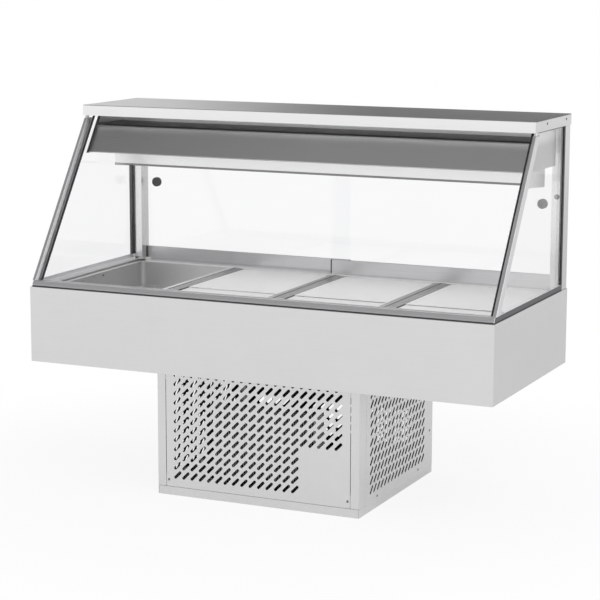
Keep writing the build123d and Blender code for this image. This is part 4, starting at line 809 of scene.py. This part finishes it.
# Black strips on the canopy's end plates, each over a plate's leaning front edge where it meets the
# rolled sheet: painted shade, standing for the shadow line there, in the black rubber finish.
shade_strip_width = 0.0072
shade_strip_depth = 0.0036
shade_strip_round = 0.0014
shade_strip_steps = 3
shade_strip_trim = 0.004
front_run = 0.310
front_rise = 0.453
front_lean = front_run / front_rise
canopy_rise = canopy_high.z - canopy_low.z
shade_strip_length = (canopy_rise - shade_strip_trim) * (1 + front_lean**2) ** 0.5
shade_strip_back = canopy_low.y + front_lean * canopy_rise / 2 + shade_strip_depth / 2
shade_strip_tilt = Matrix.Rotation(-atan(front_lean), 3, "X")
for side, name in ((-1, "left_canopy_shade_strip"), (1, "right_canopy_shade_strip")):
    shade_strip_work = block((shade_strip_width, shade_strip_depth, shade_strip_length))
    rounded(shade_strip_work, list(shade_strip_work.edges), shade_strip_round, shade_strip_steps)
    bmesh.ops.rotate(shade_strip_work, cent=(0, 0, 0), matrix=shade_strip_tilt, verts=shade_strip_work.verts)
    shade_strip_side = side * (canopy_high.x - shade_strip_width / 2)
    centre = Vector((shade_strip_side, shade_strip_back, (canopy_low.z + canopy_high.z) / 2))
    bmesh.ops.translate(shade_strip_work, vec=centre, verts=shade_strip_work.verts)
    new_piece(name, smooth_mesh(name, shade_strip_work), rubber)

# Lamp under the shelf: a folded trough of satin stainless sheet on hangers, with a white bar of
# light-emitting diodes under its top and an opal diffuser held between its walls.
lamp_fold_drop = 0.1448
lamp_fold = shelf_low.z - lamp_fold_drop
# Painted shade: a dark line along the fold, and darker faces by the axis that they look along.
fold_facing = -0.3
lamp_face_shade = (0.72, 0.96, 1)
lamp_satin = (grey(0.90), grey(0.99))
fold_painted_shade = grey(0.24)
opal_white = (0.86, 0.86, 0.84)
opal_grain = 1500
opal_glow = (1.0, 0.99, 0.97, 1)
glow_strength = 1.3
plastic_white = (0.86, 0.86, 0.85)


def folded_lamp():
    """Satin of the lamp's trough: painted shade along the fold under its front wall, and by the axis
    that its faces look along.
    """
    made, start = new_finish("folded_lamp")
    lines = brush_lines(start, level_grain)
    fold_shade = (place(start, "Z") < lamp_fold) * (facing(start, "Y") < fold_facing)
    satin = mixed(start, lines, *lamp_satin)
    face_shaded = darkened(start, satin, painted_face_shade(start, lamp_face_shade))
    return coated(
        made,
        colour=mixed(start, fold_shade, face_shaded, fold_painted_shade),
        roughness=between(0.22, 0.38, lines),
        metal=1.0,
    )


opal = moulded("opal_diffuser", opal_white, roughness=0.35, grain=opal_grain)
surface_of(opal).inputs["Emission Color"].default_value = opal_glow
surface_of(opal).inputs["Emission Strength"].default_value = glow_strength
white_plastic = moulded("white_plastic", plastic_white, roughness=0.45)
dress(folded_lamp(), "lamp_housing")
dress(opal, "lamp_diffuser")
dress(white_plastic, "led_bar")
ease_edges(canopy_edge, "lamp_housing")

# Sliding doors: toughened panes with anodised aluminium rails that run in tracks on the deck and under
# the shelf, as far as white plastic stops. A round finger pull is bonded to each pane. The ends of the
# rails are black: painted shade for the gaps there.
rail_low, rail_high = (Vector(corner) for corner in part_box("left_door_rails"))
# Painted shade: the rails' ends are black, standing for the shade of the gaps there.
outer_end_shade_width = 0.0018
inner_end_shade_width = 0.004
outer_end_shade = rail_low.x + outer_end_shade_width
inner_end_shade = rail_high.x - inner_end_shade_width
end_shade_black = (0.03, 0.03, 0.03, 1)
track_silver = (0.74, 0.74, 0.75)
pull_black = (0.05, 0.05, 0.052)
die_dark = 0.85
die_light = 1.15


def end_shaded_aluminium(name, side):
    """A door's rails, black at their ends as painted shade of the gaps there. The right door mirrors
    the left one.
    """
    made, start = new_finish(name)
    lines = die_lines(start, level_die)
    across = place(start, "X") * side
    end_shade = (across > inner_end_shade) + (across < outer_end_shade)
    return coated(
        made,
        colour=mixed(start, end_shade, silver(start, lines, low=0.63, high=0.85), end_shade_black),
        roughness=between(0.28, 0.44, lines),
        metal=1 - end_shade,
    )


def anodised(name, colour, grain, roughness):
    """Anodised or plated metal with lines or spots, a little either side of its colour."""
    dark = tinted(colour, die_dark)
    light = tinted(colour, die_light)
    return clouded_metal(name, dark, light, grain, detail=4.0, roughness=roughness)


dress(anodised("door_aluminium", track_silver, level_die, roughness=(0.28, 0.44)), "door_tracks")
dress(white_plastic, "track_stops")
dress(end_shaded_aluminium("left_end_shaded", 1), "left_door_rails")
dress(end_shaded_aluminium("right_end_shaded", -1), "right_door_rails")
dress(glass, "left_door_glass", "right_door_glass")
dress(moulded("pull_grey", pull_black, roughness=0.4), "left_door_pull", "right_door_pull")

# Controls on the operator's side: a recessed stainless plate with a moulded controller, three push
# buttons and two rocker switches that snap into it.
button_grey = (0.32, 0.33, 0.34)
rocker_green = (0.02, 0.24, 0.06)
dress(casing_satin, "control_plate")
dress(black_plastic, "controller", "switch_frames")
dress(moulded("button_grey", button_grey, roughness=0.5), "button_set", "button_down", "button_up")
dress(moulded("rocker_green", rocker_green, roughness=0.3), "main_rocker", "light_rocker")

# Screws that hold the panels, well and shelf: bright zinc-plated steel, pan heads with a cross recess
# pressed in, each turned as it was driven.
head_radius = 0.0035
head_rise = 0.0014
head_edge = 0.0005
dome_power = 3
shank_radius = 0.0018
recess_reach = 0.0019
recess_half = 0.00042
recess_depth = 0.0009
rings = 14
spokes = 40
turn_step = 0.9
weld_reach = 1e-6
rim_share = 0.8
screw_grey = (0.28, 0.28, 0.28)
screw_spots = 300
screw_zinc = anodised("screw_zinc", screw_grey, screw_spots, roughness=(0.17, 0.33))


def head_height(across, along):
    """Height of a screw head over its seat at a place on it."""
    reach = (across**2 + along**2) ** 0.5 / head_radius
    rise = head_edge + (head_rise - head_edge) * (1 - reach**dome_power)
    nearer, further = sorted((abs(across), abs(along)))
    crossed = nearer < recess_half and further < recess_reach
    return rise - recess_depth if crossed else rise


def screw_islands(mesh):
    """Middle, outward axis and length of each screw in the solid's mesh."""
    work = bmesh.new()
    work.from_mesh(mesh)
    bmesh.ops.remove_doubles(work, verts=work.verts, dist=weld_reach)
    left_over = set(work.verts)
    found = []
    while left_over:
        waiting = [left_over.pop()]
        island = []
        while waiting:
            vertex = waiting.pop()
            island.append(vertex.co.copy())
            for edge in vertex.link_edges:
                other = edge.other_vert(vertex)
                if other in left_over:
                    left_over.remove(other)
                    waiting.append(other)
        low = Vector([min(point[i] for point in island) for i in range(3)])
        high = Vector([max(point[i] for point in island) for i in range(3)])
        size = high - low
        axis = max(range(3), key=lambda i: size[i])
        middle = (low + high) / 2
        rim = [
            point[axis]
            for point in island
            if sum((point[i] - middle[i]) ** 2 for i in range(3) if i != axis)
            > (rim_share * head_radius) ** 2
        ]
        outward = Vector((0, 0, 0))
        outward[axis] = 1.0 if sum(rim) / len(rim) > middle[axis] else -1.0
        found.append((middle, outward, size[axis]))
    work.free()
    return sorted(found, key=lambda entry: tuple(round(value, 4) for value in entry[0]))


points = []
faces = []
screws = screw_islands(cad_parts["panel_screws"].data)
for count, (middle, outward, length) in enumerate(screws):
    seat = middle + outward * (length / 2 - head_rise)
    placed = (
        Matrix.Translation(seat)
        @ outward.to_track_quat("Z", "Y").to_matrix().to_4x4()
        @ Matrix.Rotation(count * turn_step, 4, "Z")
    )
    top = len(points)
    points.append(placed @ Vector((0, 0, head_height(0, 0))))
    profile = [(head_radius * ring / rings, None) for ring in range(1, rings + 1)]
    profile += [(head_radius, 0.0), (shank_radius, 0.0), (shank_radius, head_rise - length)]
    for radius, level in profile:
        for spoke in range(spokes):
            across = radius * cos(2 * pi * spoke / spokes)
            along = radius * sin(2 * pi * spoke / spokes)
            height = head_height(across, along) if level is None else level
            points.append(placed @ Vector((across, along, height)))
    for spoke in range(spokes):
        after = (spoke + 1) % spokes
        faces.append((top, top + 1 + spoke, top + 1 + after))
        for ring in range(len(profile) - 1):
            inner = top + 1 + ring * spokes
            outer = inner + spokes
            faces.append((inner + spoke, outer + spoke, outer + after, inner + after))
    tip = top + 1 + (len(profile) - 1) * spokes
    faces.append([tip + spoke for spoke in reversed(range(spokes))])
screw_mesh = bpy.data.meshes.new("screw_heads")
screw_mesh.from_pydata(points, [], faces)
screw_heads = new_piece("screw_heads", screw_mesh, screw_zinc)
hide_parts("panel_screws")

# Camera at the place that the photograph was taken from, with the same lens: in front of the case
# to the right and above its shelf, looking a little down on it.
picture_width = 600
focal_pixels = 1968.39
camera_place = (2.240675, -4.886002, 1.457146)
camera_turn = radians(24.589)
camera_dip = radians(9.885)
camera_roll = radians(0.134)
camera_data = bpy.data.cameras.new("camera")
camera_data.lens = focal_pixels * camera_data.sensor_width / picture_width
camera = bpy.data.objects.new("camera", camera_data)
camera.matrix_world = (
    Matrix.Translation(camera_place)
    @ Matrix.Rotation(camera_turn, 4, "Z")
    @ Matrix.Rotation(pi / 2 - camera_dip, 4, "X")
    @ Matrix.Rotation(camera_roll, 4, "Z")
)
bpy.context.scene.collection.objects.link(camera)
bpy.context.scene.camera = camera

# Studio floor: a wide sheet of pale paper under the case. It keeps the case's shadow close by and
# runs out to plain white, and steel mirrors it a little darker at the back and near the case.
floor_width = 16
floor_level = 0.86
shadow_near = 0.7
shadow_far = 1.6
shadow_white = 0.88
mirror_near = 2.0
mirror_far = 6.0
mirror_white = 0.45
back_reach = 1.5
back_white = 0.3


def studio_card(name, centre, width, height, turn, finish):
    """A flat card of the studio, not part of the case."""
    mesh = bpy.data.meshes.new(name)
    card = bpy.data.objects.new(name, mesh)
    right, top = width / 2, height / 2
    corners = [(-right, -top, 0), (right, -top, 0), (right, top, 0), (-right, top, 0)]
    mesh.from_pydata(corners, [], [(0, 1, 2, 3)])
    mesh.materials.append(finish)
    card.matrix_world = Matrix.Translation(centre) @ turn
    bpy.context.scene.collection.objects.link(card)
    return card


def bounces(start):
    """Two masks: rays that have met a dull surface, and rays that have met a mirroring one."""
    dull = start.node("LightPath", output="Diffuse Depth") > 0.5
    glossy = start.node("LightPath", output="Glossy Depth") > 0.5
    return dull, glossy


def dull_paint(finish, level):
    """Makes a finish plain paint with no gloss at all."""
    surface_of(finish).inputs["Specular IOR Level"].default_value = 0.0
    return coated(finish, colour=grey(level), roughness=1.0)


def floor_finish():
    """Pale paint that turns to plain white away from the case."""
    made, start = new_finish("studio_floor")
    dull_paint(made, floor_level)
    distance = vectors(start, "LENGTH", start.node("TexCoord", output="Object"), output="Value")
    seen = ramped(start, distance, shadow_near, shadow_far, (shadow_white, 1.0), "SMOOTHSTEP")
    around = ramped(start, distance, mirror_near, mirror_far, (mirror_white, 1.0))
    behind = ramped(start, place(start, "Y"), 0.0, back_reach, (1.0, back_white), "SMOOTHSTEP")
    lit, mirrored = bounces(start)
    share = (1 - lit) * between(seen, around * behind, mirrored)
    paint = Shade(made.node_tree, surface_of(made).outputs["BSDF"])
    plain = start.node("Emission", {}, {"Color": white, "Strength": 1.0})
    paper = start.node("MixShader", {}, {0: share, 1: paint, 2: plain})
    start.feed(made.node_tree.nodes["Material Output"], {"Surface": paper})
    return made


studio_card("floor", (0, 0, 0), floor_width, floor_width, Matrix.Identity(4), floor_finish())

# Grey card hung upright behind the shelf, faded out at its left end. Only polished faces mirror it,
# which darkens the shelf's top. It casts no shadow and the camera doesn't see it.
card_level = 0.17
card_place = (0.5, 0.75, 1.55)
card_width = 3.0
card_height = 0.95
card_fade = -0.55
card_upright = Matrix.Rotation(pi / 2, 4, "X")


def card_finish():
    """Dull grey paint that fades from the card's left end."""
    made, start = new_finish("studio_card")
    dull_paint(made, card_level)
    faded = ramped(start, place(start, "X"), -card_width / 2, card_fade, shape="SMOOTHSTEP")
    start.feed(surface_of(made), {"Alpha": faded})
    return made


grey_card = studio_card("grey_card", card_place, card_width, card_height, card_upright, card_finish())
for kind in ("camera", "diffuse", "transmission", "shadow", "volume_scatter"):
    setattr(grey_card, "visible_" + kind, False)

# Light: an even white surround, which mirrors see darken towards the ceiling, and one broad soft
# lamp over the front right. Colours are shown as they are written.
fill = 0.76
ceiling_low = 0.18
ceiling_high = 0.55
ceiling_level = 0.30
lamp_place = (3.0, -2.4, 3.8)
lamp_aim = Vector((-3.0, 2.4, -3.2))
bpy.context.scene.view_settings.view_transform = "Standard"
world = bpy.data.worlds.new("surround")
bpy.context.scene.world = world
world.use_nodes = True
surround = Shade(world.node_tree)
lit, mirrored = bounces(surround)
direction = surround.node("TexCoord", output="Generated")
upward = surround.node("SeparateXYZ", {}, {0: direction}, "Z")
ceiling = ramped(surround, upward, ceiling_low, ceiling_high, (1.0, ceiling_level), "SMOOTHSTEP")
sight = between(1, ceiling, mirrored)
background = world.node_tree.nodes["Background"]
surround.feed(background, {"Color": white, "Strength": between(sight, fill, lit)})
lamp_data = bpy.data.lights.new("soft_lamp", "AREA")
lamp_data.shape = "RECTANGLE"
lamp_data.size = 3.0
lamp_data.size_y = 2.0
lamp_data.energy = 60.0
lamp = bpy.data.objects.new("soft_lamp", lamp_data)
lamp.location = lamp_place
lamp.rotation_euler = lamp_aim.to_track_quat("-Z", "Y").to_euler()
bpy.context.scene.collection.objects.link(lamp)

bpy.context.view_layer.update()
